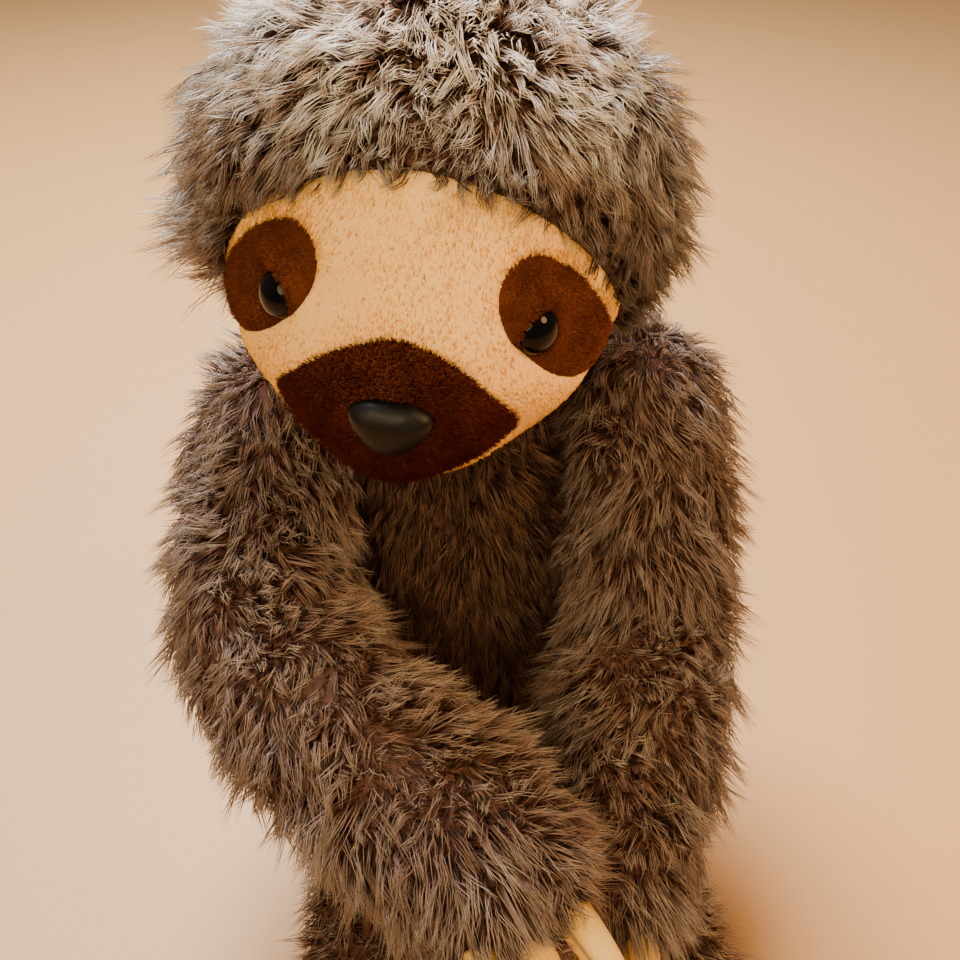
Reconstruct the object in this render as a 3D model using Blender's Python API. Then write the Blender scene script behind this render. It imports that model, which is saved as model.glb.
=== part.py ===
"""A seated plush sloth: a fur-covered head with a sewn face, a body, two arms in a hug and two legs.

The toy faces -Y, its right side is at -X, and it sits on the plane Z = 0. Each soft part is a cover, as
thick as its cloth and its pile, over a filling. The eyes and the nose are moulded pieces whose shanks
go through the face to lock washers inside the head. Sizes are in metres.
"""

import math

import bmesh
import bpy
from mathutils import Matrix, Vector

# Clearances and thicknesses
GAP = 0.0003
OVERRUN = 0.004
CLOTH = 0.0015
LONG_PILE = 0.009
HEAD_PILE = 0.009
SHORT_PILE = 0.002
FLOOR_CUT = 0.0005

# Head, measured at its cloth
HEAD_CENTRE = Vector((0.0, -0.015, 0.242))
HEAD_HALF_WIDTH = 0.0565
HEAD_HALF_HEIGHT = 0.051
HEAD_BACK_DEPTH = 0.056
HEAD_FACE_DEPTH = 0.052
MUZZLE_REACH = 0.026
MUZZLE_TILT = math.radians(-34)
MUZZLE_SPREAD = math.radians(34)
HEAD_TURN = math.radians(-13)
HEAD_LEAN = math.radians(6.5)
NECK_SHIFT = -0.010

# Face panels, in the front view
FACE_HALF_WIDTH = 0.0462
FACE_RISE = 0.0235
FACE_DROP = 0.0750
CHIN_DROP = 0.0700
PATCH_OUT = 0.0325
PATCH_DROP = 0.0055
PATCH_WIDTH = 0.0240
PATCH_HEIGHT = 0.0262
PATCH_TURN = math.radians(18)
MUZZLE_HALF_WIDTH = 0.0300
MUZZLE_TOP = 0.0075
MUZZLE_SIDE = 0.0345

# Eyes, nose and their washers
EYE_OUT = 0.0298
EYE_DROP = 0.008
EYE_WIDTH = 0.010
EYE_BULGE = 0.0042
EYE_SEAT = 0.0010
NOSE_DROP = 0.0250
NOSE_WIDTH = 0.0195
NOSE_HEIGHT = 0.0135
NOSE_BULGE = 0.0055
SHANK_DIAMETER = 0.0036
SHANK_LENGTH = 0.011
WASHER_DIAMETER = 0.011
WASHER_THICKNESS = 0.0014
WASHER_BORE_GAP = 0.0003
EYE_WASHER_SINK = 0.0013
NOSE_WASHER_SINK = 0.0022
NORMAL_STEP = 0.002

# Body
BODY_HEIGHT = 0.1885
BODY_HALF_WIDTH = 0.057
BODY_HALF_DEPTH = 0.052
NECK_RADIUS = 0.030
SOCKET_GAP = 0.0009
NECK_HOLE_RADIUS = 0.016
PELLET_BAG_DIAMETER = 0.070
PELLET_BAG_HEIGHT = 0.030

# Arms, along their centre lines; the toy's right arm lies over its left
SHOULDER_RADIUS = 0.0295
ARM_RADIUS = 0.0278
FOREARM_RADIUS = 0.0288
WRIST_RADIUS = 0.0268
SHOULDER = Vector((-0.057, -0.004, 0.158))
RIGHT_ELBOW = Vector((-0.067, -0.052, 0.124))
RIGHT_FOREARM = Vector((-0.039, -0.098, 0.115))
RIGHT_HAND = Vector((-0.009, -0.132, 0.1085))
LEFT_ELBOW = Vector((0.054, -0.048, 0.110))
LEFT_FOREARM = Vector((0.039, -0.090, 0.086))
LEFT_HAND = Vector((0.024, -0.120, 0.0750))
SLEEVE_MOUTH_RADIUS = 0.012
SHOULDER_ROOM = 0.020

# Legs, along their centre lines
HIP_RADIUS = 0.0250
THIGH_RADIUS = 0.0245
FOOT_RADIUS = 0.0235
HIP = Vector((-0.036, -0.050, HIP_RADIUS - FLOOR_CUT))
KNEE = Vector((-0.043, -0.100, THIGH_RADIUS - FLOOR_CUT))
FOOT = Vector((-0.047, -0.158, FOOT_RADIUS - FLOOR_CUT))

# Claws
CLAW_LENGTH = 0.034
CLAW_RADIUS = 0.0042
CLAW_TIP_RADIUS = 0.0012
CLAW_SPACING = 0.0125
CLAW_ROOT = 0.005
CLAW_DROP = 0.010
CLAW_TAPER = 1.6
RIGHT_HAND_HEADING = Vector((0.25, -0.94, 0.05))
LEFT_HAND_HEADING = Vector((-0.30, -0.90, 0.05))
FOOT_HEADING = Vector((-0.08, -1, 0))

# Facets
BALL_LEVEL = 4
INNER_BALL_LEVEL = 3
OUTER_SIDES = 16
INNER_SIDES = 10
BODY_SIDES = 24
OUTLINE_STEPS = 4
CLAW_SIDES = 8
ROUND_SIDES = 20

RIGHT, LEFT = -1, 1
UP = Vector((0, 0, 1))


def clear_scene():
    for old in list(bpy.data.objects):
        bpy.data.objects.remove(old, do_unlink=True)


def material(name, colour, roughness, metallic=0.0):
    made = bpy.data.materials.get(name)
    if made is None:
        made = bpy.data.materials.new(name)
        made.use_nodes = True
        shader = made.node_tree.nodes["Principled BSDF"]
        shader.inputs["Base Color"].default_value = (*colour, 1)
        shader.inputs["Roughness"].default_value = roughness
        shader.inputs["Metallic"].default_value = metallic
    return made


def long_pile():
    return material("long_pile", (0.30, 0.21, 0.16), 0.95)


def cream_pile():
    return material("cream_pile", (0.86, 0.70, 0.50), 0.9)


def rust_pile():
    return material("rust_pile", (0.24, 0.075, 0.022), 0.9)


def moulded_black():
    return material("moulded_black", (0.012, 0.012, 0.013), 0.25)


def washer_plastic():
    return material("washer_plastic", (0.80, 0.80, 0.78), 0.5)


def fibre():
    return material("fibre", (0.90, 0.90, 0.88), 0.95)


def claw_cloth():
    return material("claw_cloth", (0.83, 0.72, 0.52), 0.85)


def pellet_cloth():
    return material("pellet_cloth", (0.75, 0.75, 0.74), 0.9)


def place(name, form, finish=None, origin=None):
    """Turns a finished bmesh into an object whose origin lies where it turns, or at the world's."""
    bmesh.ops.recalc_face_normals(form, faces=form.faces)
    at = origin or Vector()
    bmesh.ops.translate(form, verts=form.verts, vec=-at)
    mesh = bpy.data.meshes.new(name)
    form.to_mesh(mesh)
    form.free()
    piece = bpy.data.objects.new(name, mesh)
    piece.location = at
    bpy.context.scene.collection.objects.link(piece)
    if finish:
        mesh.materials.append(finish)
        mesh.shade_smooth()
    return piece


def guide(name, form):
    """A shape that only cuts others."""
    piece = place(name, form)
    piece.hide_render = True
    piece.display_type = "WIRE"
    return piece


def boolean(piece, cutter, operation="DIFFERENCE"):
    step = piece.modifiers.new(cutter.name, "BOOLEAN")
    step.operation = operation
    step.solver = "EXACT"
    step.object = cutter


def smooth_through(points, steps, closed=False):
    """Points of a smooth curve that passes through the given ones."""
    count = len(points)
    spans = count if closed else count - 1
    made = []
    for i in range(spans):
        if closed:
            a, b, c, d = (points[(i + k - 1) % count] for k in range(4))
        else:
            a, b, c, d = (points[min(max(i + k - 1, 0), count - 1)] for k in range(4))
        for k in range(steps):
            t = k / steps
            made.append(
                0.5
                * (
                    2 * b
                    + (c - a) * t
                    + (2 * a - 5 * b + 4 * c - d) * t**2
                    + (3 * b - a - 3 * c + d) * t**3
                )
            )
    if not closed:
        made.append(points[-1].copy())
    return made


def bridge_rings(form, rings, poles=(None, None)):
    """Joins rings of vertices into a closed skin; an end is a point or a flat face."""
    for low, high in zip(rings, rings[1:]):
        for k in range(len(low)):
            form.faces.new((low[k - 1], low[k], high[k], high[k - 1]))
    for ring, pole in ((rings[0], poles[0]), (rings[-1], poles[1])):
        if pole is None:
            form.faces.new(ring)
        else:
            tip = form.verts.new(pole)
            for k in range(len(ring)):
                form.faces.new((ring[k - 1], ring[k], tip))


def sweep(path, radii, sides, cap_rings=3):
    """A round limb along a smooth path, with a ball at each end."""
    first = (path[1] - path[0]).normalized()
    last = (path[-1] - path[-2]).normalized()
    stations = []
    for k in range(1, cap_rings + 1):
        angle = math.pi / 2 * (1 - k / (cap_rings + 1))
        stations.append((path[0] - first * radii[0] * math.sin(angle), first, radii[0] * math.cos(angle)))
    for i, at in enumerate(path):
        along = (path[min(i + 1, len(path) - 1)] - path[max(i - 1, 0)]).normalized()
        stations.append((at, along, radii[i]))
    for k in range(cap_rings, 0, -1):
        angle = math.pi / 2 * (1 - k / (cap_rings + 1))
        stations.append((path[-1] + last * radii[-1] * math.sin(angle), last, radii[-1] * math.cos(angle)))
    form = bmesh.new()
    across = first.cross(UP).normalized()
    rings = []
    for at, along, radius in stations:
        across = (across - along * across.dot(along)).normalized()
        other = along.cross(across)
        turns = [2 * math.pi * k / sides for k in range(sides)]
        rings.append([form.verts.new(at + radius * (across * math.cos(t) + other * math.sin(t))) for t in turns])
    bridge_rings(form, rings, (path[0] - first * radii[0], path[-1] + last * radii[-1]))
    return form


def turned(profile, at, axis, sides=ROUND_SIDES):
    """A solid turned about an axis, from (radius, height) pairs; a radius of zero closes an end."""
    form = bmesh.new()
    frame = axis.to_track_quat("Z", "Y").to_matrix()
    rings = []
    for radius, height in profile:
        if radius > 0:
            turns = [2 * math.pi * k / sides for k in range(sides)]
            rings.append(
                [form.verts.new((radius * math.cos(t), radius * math.sin(t), height)) for t in turns]
            )
    ends = [Vector((0, 0, h)) if r == 0 else None for r, h in (profile[0], profile[-1])]
    bridge_rings(form, rings, ends)
    bmesh.ops.transform(form, matrix=Matrix.Translation(at) @ frame.to_4x4(), verts=form.verts)
    return form


def disc(at, axis, radius, low, high):
    """A plain cylinder from low to high along the axis."""
    return turned([(radius, low), (radius, high)], at, axis)


def ball(at, radius):
    form = bmesh.new()
    bmesh.ops.create_uvsphere(form, u_segments=BODY_SIDES, v_segments=OUTER_SIDES, radius=radius)
    bmesh.ops.translate(form, verts=form.verts, vec=at)
    return form


def box(low, high):
    form = bmesh.new()
    bmesh.ops.create_cube(form, size=1)
    size = high - low
    bmesh.ops.scale(form, vec=size, verts=form.verts)
    bmesh.ops.translate(form, vec=(low + high) / 2, verts=form.verts)
    return form


def outline_prism(outline, back, front):
    """A front-view outline of (x, z) points, carried from front to back along Y."""
    form = bmesh.new()
    rings = [[form.verts.new((p.x, y, p.y)) for p in outline] for y in (front, back)]
    bridge_rings(form, rings)
    return form


def grown(outline, by):
    """A closed outline moved outwards by a distance."""
    count = len(outline)
    area = sum(outline[k - 1].cross(outline[k]) for k in range(count))
    side = 1 if area > 0 else -1
    made = []
    for k in range(count):
        along = (outline[(k + 1) % count] - outline[k - 1]).normalized()
        made.append(outline[k] + Vector((along.y, -along.x)) * by * side)
    return made


# Head


def head_point(direction, offset):
    """Where a ray from the head's centre meets its cloth, moved out by an offset."""
    depth = HEAD_FACE_DEPTH if direction.y < 0 else HEAD_BACK_DEPTH
    halves = (HEAD_HALF_WIDTH, depth, HEAD_HALF_HEIGHT)
    reach = 1 / math.sqrt(sum((d / (h + offset)) ** 2 for d, h in zip(direction, halves)))
    muzzle = Vector((0, -math.cos(MUZZLE_TILT), math.sin(MUZZLE_TILT)))
    away = direction.angle(muzzle)
    return HEAD_CENTRE + direction * (reach + MUZZLE_REACH * math.exp(-((away / MUZZLE_SPREAD) ** 2)))


def head_form(offset, level):
    form = bmesh.new()
    bmesh.ops.create_icosphere(form, subdivisions=level, radius=1)
    for vert in form.verts:
        vert.co = head_point(vert.co.normalized(), offset)
    return form


def face_point(x, z, offset):
    """The point of the face in front of a front-view place, by halving the interval in depth."""
    near, far = -3 * HEAD_FACE_DEPTH, 0.0
    for _ in range(40):
        middle = (near + far) / 2
        ray = Vector((x, middle, z))
        surface = head_point(ray.normalized(), offset) - HEAD_CENTRE
        if surface.length < ray.length:
            near = middle
        else:
            far = middle
    return HEAD_CENTRE + Vector((x, far, z))


def face_normal(x, z):
    step = NORMAL_STEP
    across = face_point(x + step, z, 0) - face_point(x - step, z, 0)
    upward = face_point(x, z + step, 0) - face_point(x, z - step, 0)
    normal = across.cross(upward).normalized()
    return normal if normal.y < 0 else -normal


def face_outline():
    """The shield of the face, wide at the eyes and narrow at the chin."""
    rise_shares = [(0, 1.0), (0.42, 0.94), (0.80, 0.60), (1.0, 0.0)]
    drop_shares = [(0.99, 0.27), (0.90, 0.56), (0.62, 0.86)]
    right = [Vector((x * FACE_HALF_WIDTH, z * FACE_RISE)) for x, z in rise_shares]
    right += [Vector((x * FACE_HALF_WIDTH, -z * FACE_DROP)) for x, z in drop_shares]
    left = [Vector((-p.x, p.y)) for p in reversed(right[1:])]
    return smooth_through(right + left, OUTLINE_STEPS, closed=True)


def muzzle_outline():
    """A low arch over the nose, pointed at both sides, down to the chin."""
    arch_shares = [(0, 0), (0.42, 0.14), (0.80, 0.56), (1.0, 1.0)]
    under_shares = [(0.84, 0.35), (0.55, 0.75)]
    top, side, low = -MUZZLE_TOP, -MUZZLE_SIDE, -CHIN_DROP
    right = [Vector((x * MUZZLE_HALF_WIDTH, top + (side - top) * z)) for x, z in arch_shares]
    right += [Vector((x * MUZZLE_HALF_WIDTH, side + (low - side) * z)) for x, z in under_shares]
    left = [Vector((-p.x, p.y)) for p in reversed(right[1:])]
    return smooth_through(right + [Vector((0, low))] + left, OUTLINE_STEPS, closed=True)


def patch_outline(side):
    """An egg round one eye, its narrow end up and inwards."""
    narrowing_share = 0.16
    points = []
    for k in range(4 * OUTLINE_STEPS):
        t = 2 * math.pi * k / (4 * OUTLINE_STEPS)
        x = PATCH_WIDTH / 2 * math.cos(t) * (1 - narrowing_share * math.sin(t))
        z = PATCH_HEIGHT / 2 * math.sin(t)
        turned_x = x * math.cos(PATCH_TURN) - z * math.sin(PATCH_TURN)
        turned_z = x * math.sin(PATCH_TURN) + z * math.cos(PATCH_TURN)
        points.append(Vector((side * (PATCH_OUT + turned_x), turned_z - PATCH_DROP)))
    return points


def in_head(outline):
    """Moves a face outline from the head's centre to its place in the front view."""
    return [Vector((HEAD_CENTRE.x + p.x, HEAD_CENTRE.z + p.y)) for p in outline]


def face_cutter(name, outline, grow):
    """A prism on a face outline, from before the face back to the middle of the head."""
    back = HEAD_CENTRE.y + grow
    front = HEAD_CENTRE.y - HEAD_FACE_DEPTH - 2 * MUZZLE_REACH
    return guide(name, outline_prism(in_head(grown(outline, grow)), back, front))


def make_head():
    """The head is modelled facing the front and then turned on the neck, as the photographed one is."""
    others = set(bpy.data.objects)
    neck = UP * BODY_HEIGHT
    wide = 2 * HEAD_HALF_WIDTH
    below = box(Vector((-wide, -2 * wide, 0)), Vector((wide, wide, BODY_HEIGHT + GAP)))
    under_head = guide("under_head", below)
    inner = guide("head_inner", head_form(-CLOTH, INNER_BALL_LEVEL))
    face_back = guide("face_back", head_form(-CLOTH, BALL_LEVEL))
    mouth = guide("head_mouth", disc(neck, UP, NECK_HOLE_RADIUS, -OVERRUN, HEAD_HALF_HEIGHT))

    cover = place("head_cover", head_form(HEAD_PILE, BALL_LEVEL), long_pile(), neck)
    boolean(cover, face_cutter("face_opening", face_outline(), GAP))
    boolean(cover, inner)
    boolean(cover, mouth)
    boolean(cover, under_head)

    muzzle_hole = face_cutter("muzzle_opening", muzzle_outline(), GAP)
    face = place("face_panel", head_form(SHORT_PILE, BALL_LEVEL), cream_pile(), neck)
    boolean(face, face_cutter("face_edge", face_outline(), 0), "INTERSECT")
    boolean(face, face_back)
    boolean(face, under_head)
    boolean(face, muzzle_hole)

    muzzle = place("muzzle_panel", head_form(SHORT_PILE, BALL_LEVEL), rust_pile(), neck)
    boolean(muzzle, face_cutter("muzzle_edge", muzzle_outline(), 0), "INTERSECT")
    boolean(muzzle, face_back)
    boolean(muzzle, under_head)

    filling = place("head_filling", head_form(-CLOTH - GAP, INNER_BALL_LEVEL), fibre(), neck)
    boolean(filling, under_head)

    for side, word in ((RIGHT, "right"), (LEFT, "left")):
        patch_hole = face_cutter(f"patch_opening_{word}", patch_outline(side), GAP)
        boolean(face, patch_hole)
        patch = place(f"eye_patch_{word}", head_form(SHORT_PILE, BALL_LEVEL), rust_pile(), neck)
        boolean(patch, face_cutter(f"patch_edge_{word}", patch_outline(side), 0), "INTERSECT")
        boolean(patch, face_cutter(f"patch_trim_{word}", face_outline(), 0), "INTERSECT")
        boolean(patch, face_back)
        make_eye(side, word, neck, patch, filling)
    make_nose(neck, muzzle, filling)

    turn = bpy.data.objects.new("neck_turn", None)
    bpy.context.scene.collection.objects.link(turn)
    for piece in set(bpy.data.objects) - others - {turn, under_head}:
        piece.parent = turn
        piece.location -= neck
    turn.location = Vector((NECK_SHIFT, 0, BODY_HEIGHT))
    turn.rotation_euler = (0, HEAD_LEAN, HEAD_TURN)


def make_fixing(name, at, normal, sink, neck, panel, filling):
    """The washer of one moulded piece, its hole through the panel and its pocket in the filling."""
    behind = -SHORT_PILE - CLOTH - sink
    bore = SHANK_DIAMETER / 2 + WASHER_BORE_GAP
    rim = WASHER_DIAMETER / 2
    back = behind - WASHER_THICKNESS
    edge_share, hub_share = 0.67, 0.30
    edge = back + WASHER_THICKNESS * edge_share
    hub = bore + (rim - bore) * hub_share
    profile = [(bore, back), (rim, back), (rim, edge), (hub, behind), (bore, behind)]
    washer = bmesh.new()
    frame = Matrix.Translation(at) @ normal.to_track_quat("Z", "Y").to_matrix().to_4x4()
    rings = []
    for radius, height in profile:
        turns = [2 * math.pi * k / ROUND_SIDES for k in range(ROUND_SIDES)]
        rings.append([washer.verts.new((radius * math.cos(t), radius * math.sin(t), height)) for t in turns])
    for low, high in zip(rings, rings[1:] + rings[:1]):
        for k in range(ROUND_SIDES):
            washer.faces.new((low[k - 1], low[k], high[k], high[k - 1]))
    bmesh.ops.transform(washer, matrix=frame, verts=washer.verts)
    place(name, washer, washer_plastic(), neck)
    hole = guide(f"{name}_hole", disc(at, normal, bore, -SHANK_LENGTH, OVERRUN))
    boolean(panel, hole)
    pocket = guide(f"{name}_pocket", disc(at, normal, rim + GAP, -SHANK_LENGTH - GAP, OVERRUN))
    boolean(filling, pocket)


def make_eye(side, word, neck, patch, filling):
    """A black dome on a shank, seated in a shallow dimple of its patch."""
    tip_share, rim_share, edge_share = 0.7, 0.97, 0.15
    x, z = side * EYE_OUT, -EYE_DROP
    at = face_point(x, z, SHORT_PILE)
    normal = face_normal(x, z)
    shank = SHANK_DIAMETER / 2
    half = EYE_WIDTH / 2
    low = GAP - EYE_SEAT
    edge = low + EYE_BULGE * edge_share
    top = low + EYE_BULGE
    profile = [(0, -SHANK_LENGTH), (shank * tip_share, -SHANK_LENGTH), (shank, shank - SHANK_LENGTH)]
    profile += [(shank, low), (half * rim_share, low), (half, edge)]
    for k in range(1, 4):
        angle = math.pi / 2 * k / 4
        profile.append((half * math.cos(angle), edge + (top - edge) * math.sin(angle)))
    profile.append((0, top))
    place(f"eye_{word}", turned(profile, at, normal), moulded_black(), neck)
    seat = guide(f"eye_seat_{word}", disc(at, normal, half + GAP, -EYE_SEAT, OVERRUN))
    boolean(patch, seat)
    make_fixing(f"eye_washer_{word}", at, normal, EYE_WASHER_SINK, neck, patch, filling)


def nose_outline(size_share):
    """A rounded triangle with a nearly flat top, in the nose's own plane."""
    wide, high = NOSE_WIDTH / 2 * size_share, NOSE_HEIGHT / 2 * size_share
    half_shares = [(0, 0.92), (0.62, 1.0), (0.97, 0.62), (0.80, -0.12), (0.36, -0.82)]
    right = [Vector((x * wide, z * high)) for x, z in half_shares]
    left = [Vector((-p.x, p.y)) for p in reversed(right[1:])]
    return smooth_through(right + [Vector((0, -high))] + left, 2, closed=True)


def make_nose(neck, muzzle, filling):
    """The moulded nose: a crowned rounded triangle on a shank."""
    at = face_point(0, -NOSE_DROP, SHORT_PILE)
    normal = face_normal(0, -NOSE_DROP)
    frame = Matrix((Vector((1, 0, 0)), normal.cross(Vector((1, 0, 0))), normal)).transposed()
    if frame.col[1].z < 0:
        frame = Matrix((Vector((-1, 0, 0)), -frame.col[1], normal)).transposed()
    low = GAP - EYE_SEAT
    level_shares = [(0.94, 0.0), (1.0, 0.18), (0.93, 0.55), (0.70, 0.85), (0.36, 0.98)]
    form = bmesh.new()
    rings = []
    for size_share, rise_share in level_shares:
        height = low + NOSE_BULGE * rise_share
        rings.append([form.verts.new((p.x, p.y, height)) for p in nose_outline(size_share)])
    bridge_rings(form, rings, (None, Vector((0, 0, low + NOSE_BULGE))))
    bmesh.ops.transform(form, matrix=Matrix.Translation(at) @ frame.to_4x4(), verts=form.verts)
    nose = place("nose", form, moulded_black(), neck)
    shank = disc(at, normal, SHANK_DIAMETER / 2, -SHANK_LENGTH, low + NOSE_BULGE / 2)
    boolean(nose, guide("nose_shank", shank), "UNION")
    seat = bmesh.new()
    around = grown(nose_outline(1), GAP)
    rings = [[seat.verts.new((p.x, p.y, h)) for p in around] for h in (-EYE_SEAT, OVERRUN)]
    bridge_rings(seat, rings)
    bmesh.ops.transform(seat, matrix=Matrix.Translation(at) @ frame.to_4x4(), verts=seat.verts)
    boolean(muzzle, guide("nose_seat", seat))
    make_fixing("nose_washer", at, normal, NOSE_WASHER_SINK, neck, muzzle, filling)


# Body


def body_form(inset, sides):
    """A pear that narrows to a round neck, drawn in by an inset and flat at the seat."""
    height_shares = (0.0, 0.035, 0.12, 0.28, 0.48, 0.66, 0.80, 0.91)
    width_shares = (0.72, 0.87, 0.98, 1.0, 0.95, 0.85, 0.73, 0.59)
    levels = [Vector((h * BODY_HEIGHT, w)) for h, w in zip(height_shares, width_shares)]
    turns = [2 * math.pi * k / sides for k in range(sides)]
    form = bmesh.new()
    rings = []
    for height, share in smooth_through(levels, 2):
        wide = share * BODY_HALF_WIDTH - inset
        deep = share * BODY_HALF_DEPTH - inset
        level = max(height, inset)
        aside = NECK_SHIFT * (level / BODY_HEIGHT) ** 2
        rings.append([form.verts.new((aside + wide * math.cos(t), deep * math.sin(t), level)) for t in turns])
    neck = NECK_RADIUS - inset
    top = [(NECK_SHIFT + neck * math.cos(t), neck * math.sin(t), BODY_HEIGHT) for t in turns]
    rings.append([form.verts.new(at) for at in top])
    bridge_rings(form, rings)
    return form


def make_body():
    wall = LONG_PILE + CLOTH
    cover = place("body_cover", body_form(0, BODY_SIDES), long_pile())
    filling = place("body_filling", body_form(wall + GAP, OUTER_SIDES), fibre())
    inner = body_form(wall, OUTER_SIDES)
    boolean(cover, guide("body_inner", inner))
    neck = Vector((NECK_SHIFT, 0, BODY_HEIGHT))
    mouth = disc(neck, UP, NECK_HOLE_RADIUS, -BODY_HALF_DEPTH, OVERRUN)
    boolean(cover, guide("neck_mouth", mouth))
    press = guide("body_press", body_form(-GAP, BODY_SIDES))
    for side, word in ((RIGHT, "right"), (LEFT, "left")):
        for joint, radius, seat in ((SHOULDER, SHOULDER_RADIUS, "shoulder"), (HIP, HIP_RADIUS, "hip")):
            at = sided(joint, side)
            socket = guide(f"{seat}_socket_{word}", ball(at, radius + SOCKET_GAP))
            boolean(cover, socket)
            boolean(filling, socket)
            boolean(press, guide(f"{seat}_ball_{word}", ball(at, radius + GAP)))
    make_pellet_bag(filling, wall + 2 * GAP)
    return press


def make_pellet_bag(filling, floor):
    """A round bag on the seat of the body, and its pocket in the filling."""
    wide, tall = PELLET_BAG_DIAMETER / 2, PELLET_BAG_HEIGHT
    bag_shares = [(0.72, 0), (0.95, 0.20), (1.0, 0.45), (0.86, 0.78), (0.50, 0.97)]
    profile = [(0, 0)] + [(wide * w, tall * h) for w, h in bag_shares] + [(0, tall)]
    place("pellet_bag", turned(profile, UP * floor, UP), pellet_cloth())
    pocket_shares = [(1.0, 0.50), (0.86, 0.80), (0.50, 1.0)]
    pocket = [(0, -OVERRUN), (wide + GAP, -OVERRUN)]
    pocket += [(wide * w + GAP, tall * h + GAP) for w, h in pocket_shares] + [(0, tall + 2 * GAP)]
    boolean(filling, guide("pellet_pocket", turned(pocket, UP * floor, UP)))


# Limbs


def sided(place_on_right, side):
    return Vector((-side * place_on_right.x, place_on_right.y, place_on_right.z))


def limb_form(points, radii, inset, sides):
    steps = 3
    path = smooth_through(points, steps)
    widths = smooth_through([Vector((r, 0)) for r in radii], steps)
    return sweep(path, [w.x - inset for w in widths], sides)


def make_limb(name, points, radii, trims):
    """A cover over its filling, open at the root where it is sewn on; trims cut both."""
    wall = LONG_PILE + CLOTH
    root = points[0]
    cover = place(f"{name}_cover", limb_form(points, radii, 0, OUTER_SIDES), long_pile(), root)
    filling = place(f"{name}_filling", limb_form(points, radii, wall + GAP, INNER_SIDES), fibre(), root)
    boolean(cover, guide(f"{name}_inner", limb_form(points, radii, wall, INNER_SIDES)))
    inwards = (Vector((0, 0, root.z)) - root).normalized()
    mouth = disc(root, inwards, SLEEVE_MOUTH_RADIUS, 0, radii[0] + OVERRUN)
    boolean(cover, guide(f"{name}_mouth", mouth))
    for trim in trims:
        boolean(cover, trim)
        boolean(filling, trim)
    return cover


def claw_form(root, along, droop, grow):
    """A claw that narrows and curves downwards, from a root under the pile."""
    form = bmesh.new()
    steps = 6
    across = along.cross(droop).normalized()
    rings = []
    for k in range(steps):
        t = k / (steps - 1)
        centre = root + along * CLAW_LENGTH * t + droop * CLAW_DROP * t * t
        heading = (along * CLAW_LENGTH + droop * CLAW_DROP * 2 * t).normalized()
        upward = heading.cross(across)
        radius = CLAW_RADIUS + (CLAW_TIP_RADIUS - CLAW_RADIUS) * t**CLAW_TAPER + grow
        turns = [2 * math.pi * i / CLAW_SIDES for i in range(CLAW_SIDES)]
        outwards = [across * math.cos(a) + upward * math.sin(a) for a in turns]
        rings.append([form.verts.new(centre + radius * way) for way in outwards])
    end = root + along * (CLAW_LENGTH + CLAW_TIP_RADIUS + grow) + droop * CLAW_DROP
    bridge_rings(form, rings, (root - along * (CLAW_TIP_RADIUS + grow), end))
    return form


def make_claws(name, cover, points, radii, heading):
    """Three claws side by side in the end seam of a limb, drooping as they go."""
    along = heading.normalized()
    across = along.cross(UP).normalized()
    for k, word in ((-1, "left"), (0, "middle"), (1, "right")):
        aside = across * k * CLAW_SPACING
        reach = math.sqrt(radii[-1] ** 2 - aside.length_squared)
        root = points[-1] + along * (reach - CLAW_ROOT) + aside
        spread = (along + aside / CLAW_LENGTH / 2).normalized()
        place(f"{name}_claw_{word}", claw_form(root, spread, -UP, 0), claw_cloth(), points[0])
        boolean(cover, guide(f"{name}_seam_{word}", claw_form(root, spread, -UP, GAP)))


def shoulder_room(side, word):
    """Guides for the room inside of and behind an arm's joint, which the turning arm needs."""
    near = sided(SHOULDER, side)
    wide = side * 2 * (BODY_HALF_WIDTH + ARM_RADIUS)
    rooms = []
    for outside, front, where in ((near.x, near.y - SHOULDER_ROOM, "inside"), (wide, near.y, "behind")):
        low = Vector((min(outside, 0), front, 0))
        high = Vector((max(outside, 0), BODY_HALF_DEPTH, BODY_HEIGHT))
        room = guide(f"{where}_shoulder_{word}", box(low, high))
        boolean(room, bpy.data.objects[f"shoulder_ball_{word}"])
        rooms.append(room)
    return rooms


def make_arms(body_press):
    """The right arm over the left: the lower arm is pressed in where the upper one rests on it."""
    radii = (SHOULDER_RADIUS, ARM_RADIUS, FOREARM_RADIUS, WRIST_RADIUS)
    right = (sided(SHOULDER, RIGHT), RIGHT_ELBOW, RIGHT_FOREARM, RIGHT_HAND)
    left = (sided(SHOULDER, LEFT), LEFT_ELBOW, LEFT_FOREARM, LEFT_HAND)
    wide = 2 * (BODY_HALF_WIDTH + ARM_RADIUS)
    leg_top = 2 * HIP_RADIUS - FLOOR_CUT
    press = [r + GAP for r in radii]

    rest = guide("upper_arm_press", limb_form(right, press, 0, OUTER_SIDES))
    beside = Vector((RIGHT_HAND.x + WRIST_RADIUS, RIGHT_FOREARM.y + FOREARM_RADIUS, BODY_HEIGHT))
    hand_under = Vector((-wide, -2 * wide, RIGHT_HAND.z - WRIST_RADIUS - GAP))
    sweep_room = guide("upper_arm_sweep", box(hand_under, beside))
    lap = guide("lap", box(Vector((-wide, -2 * wide, 0)), Vector((wide, 0, leg_top + GAP))))

    cover = make_limb("arm_right", right, radii, (body_press, *shoulder_room(RIGHT, "right")))
    make_claws("hand_right", cover, right, radii, RIGHT_HAND_HEADING)
    trims = (body_press, *shoulder_room(LEFT, "left"), rest, sweep_room, lap)
    cover = make_limb("arm_left", left, radii, trims)
    make_claws("hand_left", cover, left, radii, LEFT_HAND_HEADING)


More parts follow.
